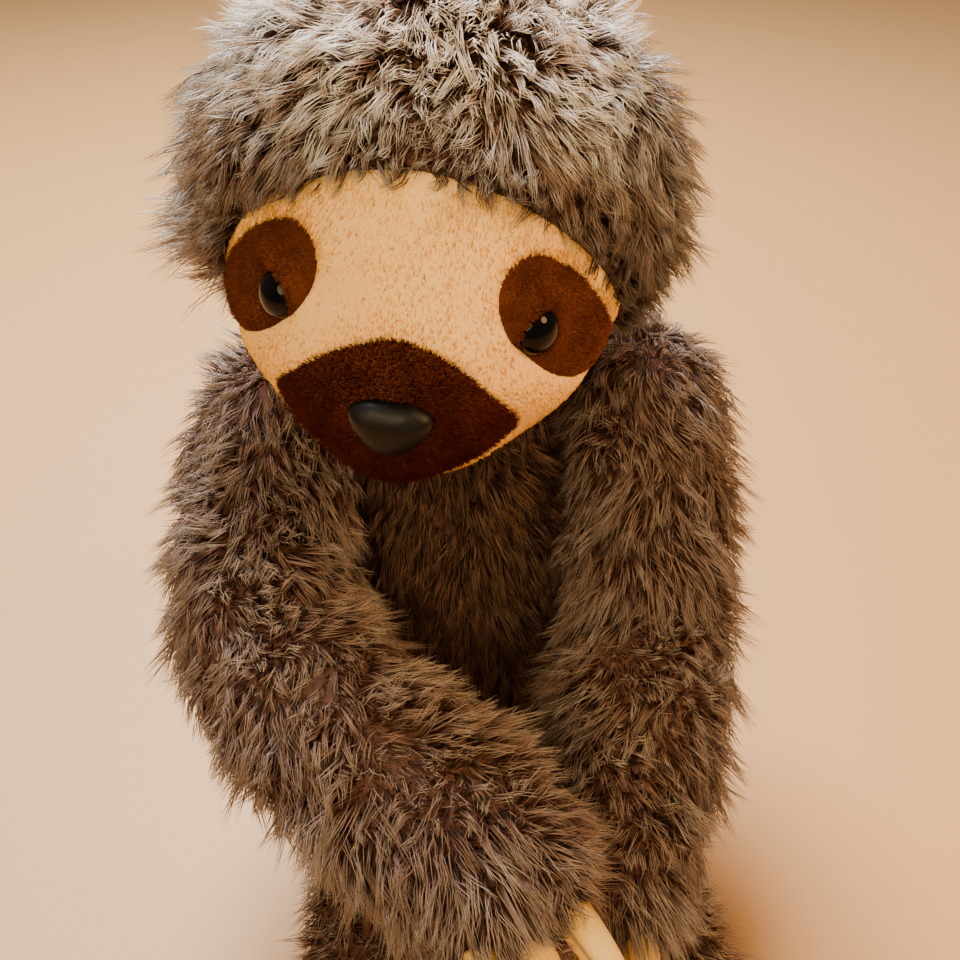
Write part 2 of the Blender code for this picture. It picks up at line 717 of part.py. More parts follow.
def make_legs(body_press):
    radii = (HIP_RADIUS, THIGH_RADIUS, FOOT_RADIUS)
    wide = 2 * (BODY_HALF_WIDTH + ARM_RADIUS)
    floor = guide("floor", box(Vector((-wide, -2 * wide, -wide)), Vector((wide, wide, 0))))
    for side, word in ((RIGHT, "right"), (LEFT, "left")):
        points = tuple(sided(p, side) for p in (HIP, KNEE, FOOT))
        cover = make_limb(f"leg_{word}", points, radii, (body_press, floor))
        make_claws(f"foot_{word}", cover, points, radii, sided(FOOT_HEADING, side))


clear_scene()
make_head()
body_press = make_body()
make_arms(body_press)
make_legs(body_press)
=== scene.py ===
"""The look of a seated plush sloth: long shaggy pile over stuffed cloth, a sewn face and ribbed claws.

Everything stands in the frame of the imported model: metres, +Z up, the toy facing -Y, its right side at -X.
"""

import math

import bmesh
import bpy
import numpy as np
from mathutils import Euler, Matrix, Vector


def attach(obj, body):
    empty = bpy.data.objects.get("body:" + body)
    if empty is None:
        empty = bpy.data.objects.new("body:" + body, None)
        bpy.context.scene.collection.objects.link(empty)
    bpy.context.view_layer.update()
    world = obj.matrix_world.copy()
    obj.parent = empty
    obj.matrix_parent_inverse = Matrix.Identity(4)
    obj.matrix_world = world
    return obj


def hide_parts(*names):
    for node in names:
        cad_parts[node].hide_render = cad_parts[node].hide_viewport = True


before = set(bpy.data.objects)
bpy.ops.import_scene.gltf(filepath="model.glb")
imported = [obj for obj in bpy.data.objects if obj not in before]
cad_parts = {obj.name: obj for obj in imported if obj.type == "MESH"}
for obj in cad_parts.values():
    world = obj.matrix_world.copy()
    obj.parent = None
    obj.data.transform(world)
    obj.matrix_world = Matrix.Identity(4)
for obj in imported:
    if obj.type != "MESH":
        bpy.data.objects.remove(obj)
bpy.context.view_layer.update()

scene = bpy.context.scene


# Camera, floor and light.
# The photographer stood in front of the seated toy and looked down on it from close by. A pale table
# carries it, a broad warm lamp stands at the right and a cool window lies behind it.
CAMERA_AT = Vector((-0.0299, -0.2524, 0.3410))
CAMERA_TURN = math.radians(-8)
CAMERA_DOWN = math.radians(40)
CAMERA_LENS = 35.625
CAMERA_SENSOR = 36.0

camera = bpy.data.objects.new("camera", bpy.data.cameras.new("camera"))
camera.data.sensor_width = CAMERA_SENSOR
camera.data.lens = CAMERA_LENS
camera.data.clip_start = 0.01
camera.location = CAMERA_AT
ahead = Vector((
    -math.sin(CAMERA_TURN) * math.cos(CAMERA_DOWN),
    math.cos(CAMERA_TURN) * math.cos(CAMERA_DOWN),
    -math.sin(CAMERA_DOWN),
))
camera.rotation_euler = ahead.to_track_quat("-Z", "Y").to_euler()
scene.collection.objects.link(camera)
scene.camera = camera


def plain_material(name, colour, roughness):
    """A material with one Principled shader, and the tree and the shader to build on."""
    made = bpy.data.materials.new(name)
    made.use_nodes = True
    shader = made.node_tree.nodes["Principled BSDF"]
    shader.inputs["Base Color"].default_value = (*colour, 1)
    shader.inputs["Roughness"].default_value = roughness
    return made, made.node_tree, shader


def node(tree, kind, inputs=None, **settings):
    """Adds a node, with its settings and its inputs: values, or the sockets that feed them."""
    made = tree.nodes.new(kind)
    for key, value in settings.items():
        setattr(made, key, value)
    for key, value in (inputs or {}).items():
        if isinstance(value, bpy.types.NodeSocket):
            tree.links.new(value, made.inputs[key])
        else:
            made.inputs[key].default_value = value
    return made
def named_group(name, inputs, output, tree_kind="ShaderNodeTree"):
    """A node group with one output: the group, its named inputs and the output's socket to feed."""
    made = bpy.data.node_groups.new(name, tree_kind)
    for key, kind in inputs:
        made.interface.new_socket(key, in_out="INPUT", socket_type="NodeSocket" + kind)
    made.interface.new_socket(output[0], in_out="OUTPUT", socket_type="NodeSocket" + output[1])
    return made, made.nodes.new("NodeGroupInput").outputs, made.nodes.new("NodeGroupOutput").inputs[0]


def object_place(tree):
    return node(tree, "ShaderNodeTexCoord").outputs["Object"]


# Grain is a fine or a cloudy unevenness of a surface, which each finish places with its own size.
grain_group, given, result = named_group(
    "grain", [("Scale", "Float"), ("Detail", "Float")], ("Height", "Float"))
noise = node(grain_group, "ShaderNodeTexNoise", {
    "Vector": object_place(grain_group), "Scale": given["Scale"], "Detail": given["Detail"],
})
grain_group.links.new(noise.outputs["Fac"], result)


def grain(tree, scale, detail):
    made = node(tree, "ShaderNodeGroup", {"Scale": scale, "Detail": detail}, node_tree=grain_group)
    return made.outputs["Height"]


def bumped(tree, shader, height, strength, depth):
    """Raises a finish by a height that changes over the surface."""
    bump = node(tree, "ShaderNodeBump", {"Height": height, "Strength": strength, "Distance": depth})
    tree.links.new(bump.outputs["Normal"], shader.inputs["Normal"])


FLOOR_HALF = 4.0
FLOOR_COLOUR = (0.46, 0.235, 0.085)

floor_mesh = bpy.data.meshes.new("floor")
corners = [(x * FLOOR_HALF, y * FLOOR_HALF, 0) for x, y in ((-1, -1), (1, -1), (1, 1), (-1, 1))]
floor_mesh.from_pydata(corners, [], [(0, 1, 2, 3)])
floor = bpy.data.objects.new("floor", floor_mesh)
scene.collection.objects.link(floor)
table_top, tree, shader = plain_material("table_top", FLOOR_COLOUR, 0.55)
bumped(tree, shader, grain(tree, 900.0, 3.0), 0.08, 0.0002)
floor_mesh.materials.append(table_top)


def area_light(name, at, towards, size, power, colour):
    lamp = bpy.data.lights.new(name, "AREA")
    lamp.shape = "DISK"
    lamp.size = size
    lamp.energy = power
    lamp.color = colour
    holder = bpy.data.objects.new(name, lamp)
    holder.location = at
    holder.rotation_euler = (Vector(towards) - Vector(at)).to_track_quat("-Z", "Y").to_euler()
    scene.collection.objects.link(holder)


HEART = (0, -0.04, 0.15)
area_light("warm_lamp", (0.80, -0.35, 0.80), HEART, 0.45, 11.0, (1.0, 0.58, 0.24))
area_light("window", (-0.16, 0.58, 1.13), HEART, 0.60, 60.0, (0.93, 0.97, 1.0))
area_light("fill", (-0.35, -0.75, 0.85), HEART, 0.7, 11.5, (1.0, 0.72, 0.38))
scene.world = bpy.data.worlds.new("room")
scene.world.use_nodes = True
room = scene.world.node_tree.nodes["Background"]
room.inputs["Color"].default_value = (1.0, 0.82, 0.62, 1)
room.inputs["Strength"].default_value = 0.22


# Head: a stuffed ball of cloth that swells to a muzzle, cut and sewn from a hood of long pile, a cream
# face, a rust muzzle and two rust eye patches. The panels are one skin, parted along their seams.
HEAD_CENTRE = Vector((0.0, -0.015, 0.242))
HEAD_HALF_WIDTH = 0.0565
HEAD_HALF_HEIGHT = 0.051
HEAD_BACK_DEPTH = 0.056
HEAD_FACE_DEPTH = 0.052
MUZZLE_REACH = 0.026
MUZZLE_TILT = math.radians(-34)
MUZZLE_SPREAD = math.radians(34)
HEAD_TURN = math.radians(-13)
HEAD_LEAN = math.radians(6.5)
NECK = Vector((-0.010, 0, 0.1885))
FACE_HALF_WIDTH = 0.0495
FACE_DROP = 0.0600
RIGHT_CHEEK_SHARE = 0.965
LEFT_MUZZLE_SHARE = 0.955
MUZZLE_LOW = 0.0545
EYE_OUT = 0.0298
EYE_DROP = 0.008
HOOD_DEPTH = 0.0004
HOOD_EDGE = 0.008
PANEL_PUFF = 0.0010
SEAM_SINK = 0.0012
SEAM_WIDTH = 0.0022
DIMPLE_DEPTH = 0.0030
DIMPLE_WIDTH = 0.0072
LID_RISE = 0.0030
LID_OUT = 0.0074
LID_WIDTH = 0.0032
LID_WAY = np.array([0.75, 0.0, 0.66])
PANEL_WALL = 0.0015
CHEEK = np.array([0.044, -0.036, -0.031])
CHEEK_OUT = 0.0042
CHEEK_WIDTH = 0.016
HEAD_SUBDIVISIONS = 7

head_place = (
    Matrix.Translation(NECK)
    @ Euler((0, HEAD_LEAN, HEAD_TURN)).to_matrix().to_4x4()
    @ Matrix.Translation((0, 0, -NECK.z))
)


def head_surface(ways):
    """Where rays from the head's centre meet its cloth, from the centre."""
    depth = np.where(ways[:, 1] < 0, HEAD_FACE_DEPTH, HEAD_BACK_DEPTH)
    halves = np.stack([np.full(len(ways), HEAD_HALF_WIDTH), depth, np.full(len(ways), HEAD_HALF_HEIGHT)], 1)
    reach = 1 / np.sqrt(((ways / halves) ** 2).sum(1))
    muzzle = np.array([0, -math.cos(MUZZLE_TILT), math.sin(MUZZLE_TILT)])
    away = np.arccos(np.clip(ways @ muzzle, -1, 1))
    reach = reach + MUZZLE_REACH * np.exp(-((away / MUZZLE_SPREAD) ** 2))
    for cheek in (CHEEK, CHEEK * (-1, 1, 1)):
        off = np.linalg.norm(ways * reach[:, None] - cheek, axis=1)
        reach = reach + CHEEK_OUT * np.exp(-((off / CHEEK_WIDTH) ** 2))
    return ways * reach[:, None]


def smooth_through(points, steps, closed=False):
    """Points of a smooth curve through the given ones, for as many numbers as each has."""
    points = np.array(points, float)
    count = len(points)
    made = []
    for i in range(count if closed else count - 1):
        picks = [(i + k - 1) % count if closed else min(max(i + k - 1, 0), count - 1) for k in range(4)]
        a, b, c, d = points[picks]
        for t in np.arange(steps) / steps:
            line = 2 * b + (c - a) * t
            made.append(0.5 * (line + (2 * a - 5 * b + 4 * c - d) * t**2 + (3 * b - a - 3 * c + d) * t**3))
    if not closed:
        made.append(points[-1])
    return np.array(made)


def mirrored(right, low=None):
    """A closed outline from its right half, top first, with an optional lowest point."""
    left = [(-x, z) for x, z in reversed(right[1:])]
    return smooth_through(right + ([low] if low else []) + left, 6, closed=True)


def outline_distance(places, outline):
    """Signed distance of front-view places to a closed outline, negative inside it."""
    nearest = np.full(len(places), 1.0)
    inside = np.zeros(len(places), bool)
    for a, b in zip(outline, np.roll(outline, -1, 0)):
        side = b - a
        share = np.clip(((places - a) @ side) / (side @ side), 0, 1)
        nearest = np.minimum(nearest, np.linalg.norm(places - a - share[:, None] * side, axis=1))
        crosses = (a[1] > places[:, 1]) != (b[1] > places[:, 1])
        with np.errstate(divide="ignore", invalid="ignore"):
            at = a[0] + (places[:, 1] - a[1]) / (b[1] - a[1]) * side[0]
        inside ^= crosses & (places[:, 0] < at)
    return np.where(inside, -nearest, nearest)


# Half outlines in the front view, in shares of the face's half width and of its drop below the centre.
hood_shares = [(0, 0.383), (0.271, 0.350), (0.444, 0.297), (0.618, 0.213), (0.776, 0.103), (0.893, -0.027)]
cheek_shares = [(1.0, -0.220), (1.0, -0.350), (0.94, -0.530), (0.80, -0.70), (0.54, -0.87)]
arch_shares = [(0, -0.122), (0.232, -0.187), (0.420, -0.315), (0.590, -0.517)]
jaw_shares = [(0.500, -0.628), (0.360, -0.705), (0.180, -0.810)]
patch_shares = [
    (0.525, 0.147), (0.636, 0.110), (0.768, 0.020), (0.899, -0.142), (0.985, -0.325),
    (0.955, -0.400), (0.873, -0.443), (0.727, -0.363), (0.580, -0.237), (0.470, -0.130),
    (0.408, -0.030), (0.400, 0.057), (0.440, 0.117),
]


def spread_out(shares):
    return [(x * FACE_HALF_WIDTH, z * FACE_DROP) for x, z in shares]


face_outline = mirrored(spread_out(hood_shares + cheek_shares), (0, -FACE_DROP))
face_outline[face_outline[:, 0] < 0, 0] *= RIGHT_CHEEK_SHARE
muzzle_outline = mirrored(spread_out(arch_shares + jaw_shares), (0, -MUZZLE_LOW))
muzzle_outline[muzzle_outline[:, 0] > 0, 0] *= LEFT_MUZZLE_SHARE


def patch_outline(side):
    """An egg round one eye that leans outwards and down the cheek."""
    return smooth_through([(side * x, z) for x, z in spread_out(patch_shares)], 4, closed=True)


def seam_distances(from_centre):
    """Signed distances to the seams of the face, the muzzle and the two eye patches."""
    places = from_centre[:, [0, 2]]
    behind = np.maximum(from_centre[:, 1], 0)
    face = np.maximum(outline_distance(places, face_outline), from_centre[:, 1])
    return [face, *(outline_distance(places, seam) + behind
                    for seam in (muzzle_outline, patch_outline(-1), patch_outline(1)))]


ball = bmesh.new()
bmesh.ops.create_icosphere(ball, subdivisions=HEAD_SUBDIVISIONS, radius=1)
ball.verts.ensure_lookup_table()
head_ways = np.array([v.co[:] for v in ball.verts])
head_ways /= np.linalg.norm(head_ways, axis=1)[:, None]
head_faces = np.array([[v.index for v in f.verts] for f in ball.faces])
ball.free()

HOOD, FACE, MUZZLE, PATCH_RIGHT, PATCH_LEFT = range(5)


def region_of(distances):
    """Which panel a place lies on."""
    face, muzzle, right, left = distances
    region = np.where(face < 0, FACE, HOOD)
    region = np.where((face < 0) & (muzzle < 0), MUZZLE, region)
    region = np.where((face < 0) & (right < 0), PATCH_RIGHT, region)
    return np.where((face < 0) & (left < 0), PATCH_LEFT, region)


surface = head_surface(head_ways)
centres = surface[head_faces].mean(1)
face_region = region_of(seam_distances(centres))

# Vertices that two panels share slide along the skin on to their seam.
SLIDE_ROUNDS = 6
SLIDE_STEP = 1e-4
SLIDE_MOST = 0.02
touching = np.zeros((len(head_ways), 5), bool)
for corner in range(3):
    touching[head_faces[:, corner], face_region] = True
for seam, panel in enumerate((HOOD, MUZZLE, PATCH_RIGHT, PATCH_LEFT)):
    if panel == HOOD:
        on_seam = touching[:, HOOD] & touching[:, 1:].any(1)
    else:
        on_seam = touching[:, panel] & touching[:, FACE] & ~touching[:, HOOD]
    ways = head_ways[on_seam]
    for _ in range(SLIDE_ROUNDS):
        here = seam_distances(head_surface(ways))[seam]
        slopes = []
        for axis in np.eye(3):
            moved = ways + SLIDE_STEP * axis
            moved /= np.linalg.norm(moved, axis=1)[:, None]
            slopes.append((seam_distances(head_surface(moved))[seam] - here) / SLIDE_STEP)
        slope = np.stack(slopes, 1)
        square = np.maximum((slope**2).sum(1), 1e-4)
        move = -np.clip(here / square, -0.05, 0.05)[:, None] * slope
        length = np.linalg.norm(move, axis=1)[:, None]
        ways = ways + move * np.minimum(1, SLIDE_MOST / np.maximum(length, 1e-9))
        ways /= np.linalg.norm(ways, axis=1)[:, None]
    head_ways[on_seam] = ways

surface = head_surface(head_ways)
face_seam, muzzle_seam, right_seam, left_seam = seam_distances(surface)
nearest_seam = np.min(np.abs([face_seam, muzzle_seam, right_seam, left_seam]), axis=0)
in_face = face_seam < 0


def face_point(x, z):
    """The point of the cloth in front of a place in the front view, from the head's centre."""
    near, far = -3 * HEAD_FACE_DEPTH, 0.0
    for _ in range(40):
        middle = (near + far) / 2
        ray = np.array([x, middle, z])
        if np.linalg.norm(head_surface(ray[None] / np.linalg.norm(ray))[0]) < np.linalg.norm(ray):
            near = middle
        else:
            far = middle
    return np.array([x, far, z])


panel_rise = PANEL_PUFF - SEAM_SINK * np.exp(-nearest_seam / SEAM_WIDTH)
out = np.where(in_face, panel_rise, HOOD_DEPTH * np.minimum(1, abs(face_seam) / HOOD_EDGE))
eye_points = {}
for side, word in ((-1, "right"), (1, "left")):
    eye_points[word] = face_point(side * EYE_OUT, -EYE_DROP)
    from_eye = surface - eye_points[word]
    away = np.linalg.norm(from_eye, axis=1)
    over = 0.30 + 0.70 * np.clip((from_eye @ (LID_WAY * (-side, 1, 1))) / np.maximum(away, 1e-6), 0, 1)
    out -= DIMPLE_DEPTH * np.exp(-((away / DIMPLE_WIDTH) ** 2)) * in_face
    out += LID_RISE * over**1.5 * np.exp(-(((away - LID_OUT) / LID_WIDTH) ** 2)) * in_face

skin = surface + head_ways * out[:, None]


def to_world(points):
    """Points from the head's centre, in the toy's frame."""
    matrix = np.array(head_place)
    return (points + np.array(HEAD_CENTRE)) @ matrix[:3, :3].T + matrix[:3, 3]


def turn_ways(ways):
    return ways @ np.array(head_place)[:3, :3].T


def cloth_object(name, points, faces, attributes, finish):
    """A mesh object with its point attributes, smooth, in its finish."""
    mesh = bpy.data.meshes.new(name)
    mesh.from_pydata(points.tolist(), [], [tuple(f) for f in faces])
    for key, values in attributes.items():
        kind, field = ("FLOAT_VECTOR", "vector") if np.ndim(values) == 2 else ("FLOAT", "value")
        mesh.attributes.new(key, kind, "POINT").data.foreach_set(field, np.asarray(values, float).ravel())
    mesh.shade_smooth()
    mesh.materials.append(finish)
    made = bpy.data.objects.new(name, mesh)
    scene.collection.objects.link(made)
    return made


def pile_tree():
    """Grows tapered strands from a skin and gathers them into tufts, as the pile of a plush cloth lies."""
    sizes = ("Strands", "Tufts", "Length", "Width", "Lift", "Swirl", "Stray", "Gather", "Crook", "Tract",
             "Floor", "Swirl Size")
    inputs = [("Skin", "Geometry"), *((size, "Float") for size in sizes), ("Segments", "Int"), ("Seed", "Int"),
              ("Finish", "Material")]
    tree, given, result = named_group("pile", inputs, ("Pile", "Geometry"), "GeometryNodeTree")

    def number(operation, *values):
        return node(tree, "ShaderNodeMath", dict(enumerate(values)), operation=operation).outputs[0]

    def vector(operation, *values):
        return node(tree, "ShaderNodeVectorMath", dict(enumerate(values)), operation=operation).outputs[0]

    def scaled(value, by):
        return node(tree, "ShaderNodeVectorMath", {"Vector": value, "Scale": by}, operation="SCALE").outputs[0]

    def compared(operation, value, limit):
        made = node(tree, "FunctionNodeCompare", {0: value, 1: limit}, data_type="FLOAT", operation=operation)
        return made.outputs[0]

    def stored(name, kind="FLOAT_VECTOR"):
        return node(tree, "GeometryNodeInputNamedAttribute", {"Name": name}, data_type=kind).outputs[0]

    def store(points, name, value, kind="FLOAT_VECTOR"):
        fields = {"Geometry": points, "Name": name, "Value": value}
        return node(tree, "GeometryNodeStoreNamedAttribute", fields, data_type=kind, domain="POINT").outputs[0]

    def chance(low, high, shift, kind="FLOAT"):
        """A random number or way, from the pile's seed with a shift of its own."""
        own_seed = number("ADD", given["Seed"], shift)
        made = node(tree, "FunctionNodeRandomValue", {"Seed": own_seed}, data_type=kind)
        sockets = [s for s in made.inputs if s.enabled and s.name in ("Min", "Max")]
        sockets[0].default_value, sockets[1].default_value = low, high
        return next(s for s in made.outputs if s.enabled)

    def random_way(shift):
        return chance((-1, -1, -1), (1, 1, 1), shift, "FLOAT_VECTOR")

    position = node(tree, "GeometryNodeInputPosition").outputs[0]
    swirl_scale = number("DIVIDE", 1.0, given["Swirl Size"])
    coarse = node(tree, "ShaderNodeTexNoise", {"Vector": position, "Scale": swirl_scale, "Detail": 1.5})
    swirl_share = number("MULTIPLY", given["Swirl"], 4.0)
    swirl = scaled(vector("SUBTRACT", coarse.outputs["Color"], (0.5, 0.5, 0.5)), swirl_share)

    def scatter(density, shift):
        """Points on the skin, each with the skin's normal."""
        made = node(tree, "GeometryNodeDistributePointsOnFaces", {
            "Mesh": given["Skin"],
            "Density": number("MULTIPLY", density, stored("cover", "FLOAT")),
            "Seed": number("ADD", given["Seed"], shift),
        })
        return store(made.outputs["Points"], "up", made.outputs["Normal"])

    def lie(stray, shift):
        """The way in which the pile lies: combed, swirled and astray."""
        return vector("ADD", vector("ADD", stored("comb"), swirl), scaled(random_way(shift), stray))

    def own_length(low, high, shift):
        share = chance(low, high, shift)
        return number("MULTIPLY", number("MULTIPLY", share, given["Length"]), stored("pile", "FLOAT"))

    # Tufts are the places and the tips that strands gather to.
    tufts = scatter(given["Tufts"], 11)
    tuft_length = own_length(0.85, 1.25, 12)
    tuft_rise = scaled(stored("up"), number("MULTIPLY", given["Lift"], tuft_length))
    tufts = store(tufts, "reach", vector("ADD", tuft_rise, scaled(lie(0.60, 13), tuft_length)))
    tufts = store(tufts, "tuft", chance(0.0, 1.0, 14), "FLOAT")
    tufts = store(tufts, "bow", scaled(random_way(15), given["Crook"]))

    # Strands stand only where the skin is grown and in the tract asked for.
    strands = scatter(given["Strands"], 0)
    grown = compared("GREATER_THAN", stored("cover", "FLOAT"), 0.02)
    off_tract = number("ABSOLUTE", number("SUBTRACT", stored("tract", "FLOAT"), given["Tract"]))
    bare = node(tree, "FunctionNodeBooleanMath", {0: grown, 1: compared("LESS_EQUAL", off_tract, 0.5)},
                operation="NAND").outputs[0]
    strands = node(tree, "GeometryNodeDeleteGeometry", {"Geometry": strands, "Selection": bare},
                   domain="POINT").outputs[0]
    length = own_length(0.72, 1.15, 1)
    strands = store(strands, "rise", scaled(stored("up"), number("MULTIPLY", given["Lift"], length)))
    strands = store(strands, "lean", scaled(lie(given["Stray"], 2), length))
    nearest = node(tree, "GeometryNodeSampleNearest", {"Geometry": tufts}, domain="POINT").outputs[0]

    def from_tuft(value, kind="FLOAT_VECTOR"):
        made = node(tree, "GeometryNodeSampleIndex", {"Geometry": tufts, "Index": nearest},
                    data_type=kind, domain="POINT")
        tree.links.new(value, made.inputs["Value"])
        return made.outputs[0]

    tip = vector("ADD", vector("ADD", position, stored("rise")), stored("lean"))
    tuft_tip = vector("ADD", from_tuft(position), from_tuft(stored("reach")))
    strands = store(strands, "gather", scaled(vector("SUBTRACT", tuft_tip, tip), given["Gather"]))
    strands = store(strands, "tuft", from_tuft(stored("tuft", "FLOAT"), "FLOAT"), "FLOAT")
    own_bow = scaled(random_way(5), number("MULTIPLY", given["Crook"], 0.35))
    strands = store(strands, "bow", vector("ADD", from_tuft(stored("bow")), own_bow))
    strands = store(strands, "tint", chance(0.0, 1.0, 3), "FLOAT")
    along_way = vector("ADD", stored("rise"), stored("lean"))
    strands = store(strands, "side", vector("NORMALIZE", vector("CROSS_PRODUCT", along_way, random_way(4))))
    strands = store(strands, "other", vector("NORMALIZE", vector("CROSS_PRODUCT", stored("side"), along_way)))
    strands = store(strands, "root", position)

    cone = node(tree, "GeometryNodeMeshCone", {
        "Vertices": 3, "Side Segments": given["Segments"],
        "Radius Top": 0.0, "Radius Bottom": 1.0, "Depth": 1.0,
    }, fill_type="NGON")
    copies = node(tree, "GeometryNodeInstanceOnPoints", {"Points": strands, "Instance": cone.outputs["Mesh"]})
    pile = node(tree, "GeometryNodeRealizeInstances", {"Geometry": copies.outputs[0]}).outputs[0]

    # Each cone is laid along its strand's bow, tapered and kept above the floor.
    local = node(tree, "ShaderNodeSeparateXYZ", {0: vector("SUBTRACT", position, stored("root"))}).outputs
    along = local[2]
    left = number("MAXIMUM", number("SUBTRACT", 1.0, along), 0.02)
    width = number("MULTIPLY", number("MULTIPLY", given["Width"], 0.5), number("POWER", left, -0.5))
    ring = vector("ADD", scaled(stored("side"), number("MULTIPLY", local[0], width)),
                  scaled(stored("other"), number("MULTIPLY", local[1], width)))
    bend = scaled(stored("bow"), number("MULTIPLY", number("MULTIPLY", along, left), 4.0))
    place = vector("ADD", stored("root"), scaled(stored("rise"), along))
    place = vector("ADD", place, scaled(stored("lean"), number("POWER", along, 1.5)))
    place = vector("ADD", place, scaled(stored("gather"), number("POWER", along, 1.4)))
    place = vector("ADD", vector("ADD", place, bend), ring)
    parts = node(tree, "ShaderNodeSeparateXYZ", {0: place}).outputs
    above_floor = number("MAXIMUM", parts[2], given["Floor"])
    held = node(tree, "ShaderNodeCombineXYZ", {0: parts[0], 1: parts[1], 2: above_floor}).outputs[0]
    pile = store(pile, "along", along, "FLOAT")
    pile = node(tree, "GeometryNodeSetPosition", {"Geometry": pile, "Position": held}).outputs[0]
    pile = node(tree, "GeometryNodeSetMaterial", {"Geometry": pile, "Material": given["Finish"]}).outputs[0]
    tree.links.new(pile, result)
    return tree


pile_group = pile_tree()
SWIRL_SIZE = 0.016
KEPT_ATTRIBUTES = {"along", "tint", "tuft", "painted_light", "position", "sharp_face", "material_index"}


def grow_pile(name, skin_object, finish, **settings):
    """The pile of one skin, as a plain mesh object."""
    grower = bpy.data.objects.new(name + "_grower", skin_object.data.copy())
    scene.collection.objects.link(grower)
    modifier = grower.modifiers.new("pile", "NODES")
    modifier.node_group = pile_group
    values = {"Finish": finish, "Tract": 0.0, "Floor": -1.0, "Swirl Size": SWIRL_SIZE, **settings}
    for item in pile_group.interface.items_tree:
        if item.in_out == "INPUT" and item.name in values:
            modifier[item.identifier] = values[item.name]
    bpy.context.view_layer.update()
    mesh = bpy.data.meshes.new_from_object(grower.evaluated_get(bpy.context.evaluated_depsgraph_get()))
    bpy.data.objects.remove(grower)
    working = [a.name for a in mesh.attributes if a.name not in KEPT_ATTRIBUTES and not a.name.startswith(".")]
    for attribute in working:
        mesh.attributes.remove(mesh.attributes[attribute])
    mesh.name = name
    mesh.shade_smooth()
    made = bpy.data.objects.new(name, mesh)
    scene.collection.objects.link(made)
    return made


def marked(tree, key):
    return node(tree, "ShaderNodeAttribute", attribute_name=key).outputs["Fac"]


def reckoned(tree, operation, *values, **settings):
    return node(tree, "ShaderNodeMath", dict(enumerate(values)), operation=operation, **settings).outputs[0]


def ranged(tree, value, **limits):
    """A value moved from one range into another, each 0 to 1 where it isn't given."""
    named = {key.replace("_", " "): limit for key, limit in limits.items()}
    return node(tree, "ShaderNodeMapRange", {"Value": value, **named}).outputs[0]


def mixed_colour(tree, share, first, second):
    return node(tree, "ShaderNodeMix", {"Factor": share, 6: first, 7: second}, data_type="RGBA").outputs[2]


# Each tuft lies between a warm and a grey dye, in soft clouds. On the hood a painted-light mark shifts it too:
# painted shade along the face's edge and on the lamp side, and a painted highlight on the crown.
tuft_dye_and_painted_light, given, result = named_group(
    "tuft_dye_and_painted_light", [("Warm", "Color"), ("Grey", "Color"), ("Clouds", "Float")], ("Colour", "Color"))
cloud = node(tuft_dye_and_painted_light, "ShaderNodeTexNoise", {
    "Vector": object_place(tuft_dye_and_painted_light), "Scale": given["Clouds"], "Detail": 2.0,
}).outputs["Fac"]
cloudy = ranged(tuft_dye_and_painted_light, cloud, From_Min=0.35, From_Max=0.65, To_Min=-0.3, To_Max=0.5)
# The painted-light mark: above zero it paints shade, darker and warmer; below zero it paints a highlight,
# paler and greyer.
painted_light_mark = marked(tuft_dye_and_painted_light, "painted_light")
grey_share_with_painted_light = reckoned(tuft_dye_and_painted_light, "MULTIPLY_ADD", painted_light_mark, -0.45, cloudy)
grey = reckoned(tuft_dye_and_painted_light, "ADD", grey_share_with_painted_light, marked(tuft_dye_and_painted_light, "tuft"), use_clamp=True)
mixed = mixed_colour(tuft_dye_and_painted_light, grey, given["Warm"], given["Grey"])
shade = ranged(tuft_dye_and_painted_light, marked(tuft_dye_and_painted_light, "tint"), To_Min=0.72, To_Max=1.25)
tint_and_painted_light = reckoned(tuft_dye_and_painted_light, "MULTIPLY", shade, reckoned(tuft_dye_and_painted_light, "MULTIPLY_ADD", painted_light_mark, -0.6, 1.0))
hue = node(tuft_dye_and_painted_light, "ShaderNodeHueSaturation", {"Color": mixed, "Value": tint_and_painted_light}).outputs[0]
tuft_dye_and_painted_light.links.new(hue, result)

STRAND_STOPS = (0.35, 0.70)
STRAND_GLOSS = 0.35
TUFT_CLOUDS = 42.0


def pile_finish(name, warm, grey, roughness):
    """Strands coloured from root to tip by four colours, in a warm and a grey dye."""
    finish, tree, shader = plain_material(name, warm[2], roughness)
    shader.inputs["Specular IOR Level"].default_value = STRAND_GLOSS
    along = marked(tree, "along")

    def root_to_tip(colours):
        made = node(tree, "ShaderNodeValToRGB", {"Fac": along})
        line = made.color_ramp.elements
        line[0].color, line[1].color = (*colours[0], 1), (*colours[-1], 1)
        for at, colour in zip(STRAND_STOPS, colours[1:-1]):
            line.new(at).color = (*colour, 1)
        return made.outputs["Color"]

    dyes = {"Warm": root_to_tip(warm), "Grey": root_to_tip(grey), "Clouds": TUFT_CLOUDS}
    tint_and_painted_light = node(tree, "ShaderNodeGroup", dyes, node_tree=tuft_dye_and_painted_light)
    tree.links.new(tint_and_painted_light.outputs["Colour"], shader.inputs["Base Color"])
    return finish


HOOD_WARM = ((0.046, 0.018, 0.010), (0.165, 0.070, 0.038), (0.34, 0.225, 0.155), (0.56, 0.46, 0.38))
HOOD_GREY = ((0.056, 0.026, 0.017), (0.23, 0.150, 0.110), (0.62, 0.61, 0.60), (0.94, 0.95, 0.96))
hood_pile = pile_finish("hood_pile", HOOD_WARM, HOOD_GREY, 0.50)

KNIT_DARK = (0.030, 0.011, 0.006, 1)
KNIT_LIGHT = (0.130, 0.052, 0.028, 1)
undercloth, tree, shader = plain_material("undercloth", (0.080, 0.030, 0.016), 0.9)
knit = grain(tree, 500.0, 4.0)
tree.links.new(mixed_colour(tree, knit, KNIT_DARK, KNIT_LIGHT), shader.inputs["Base Color"])
bumped(tree, shader, knit, 0.6, 0.001)

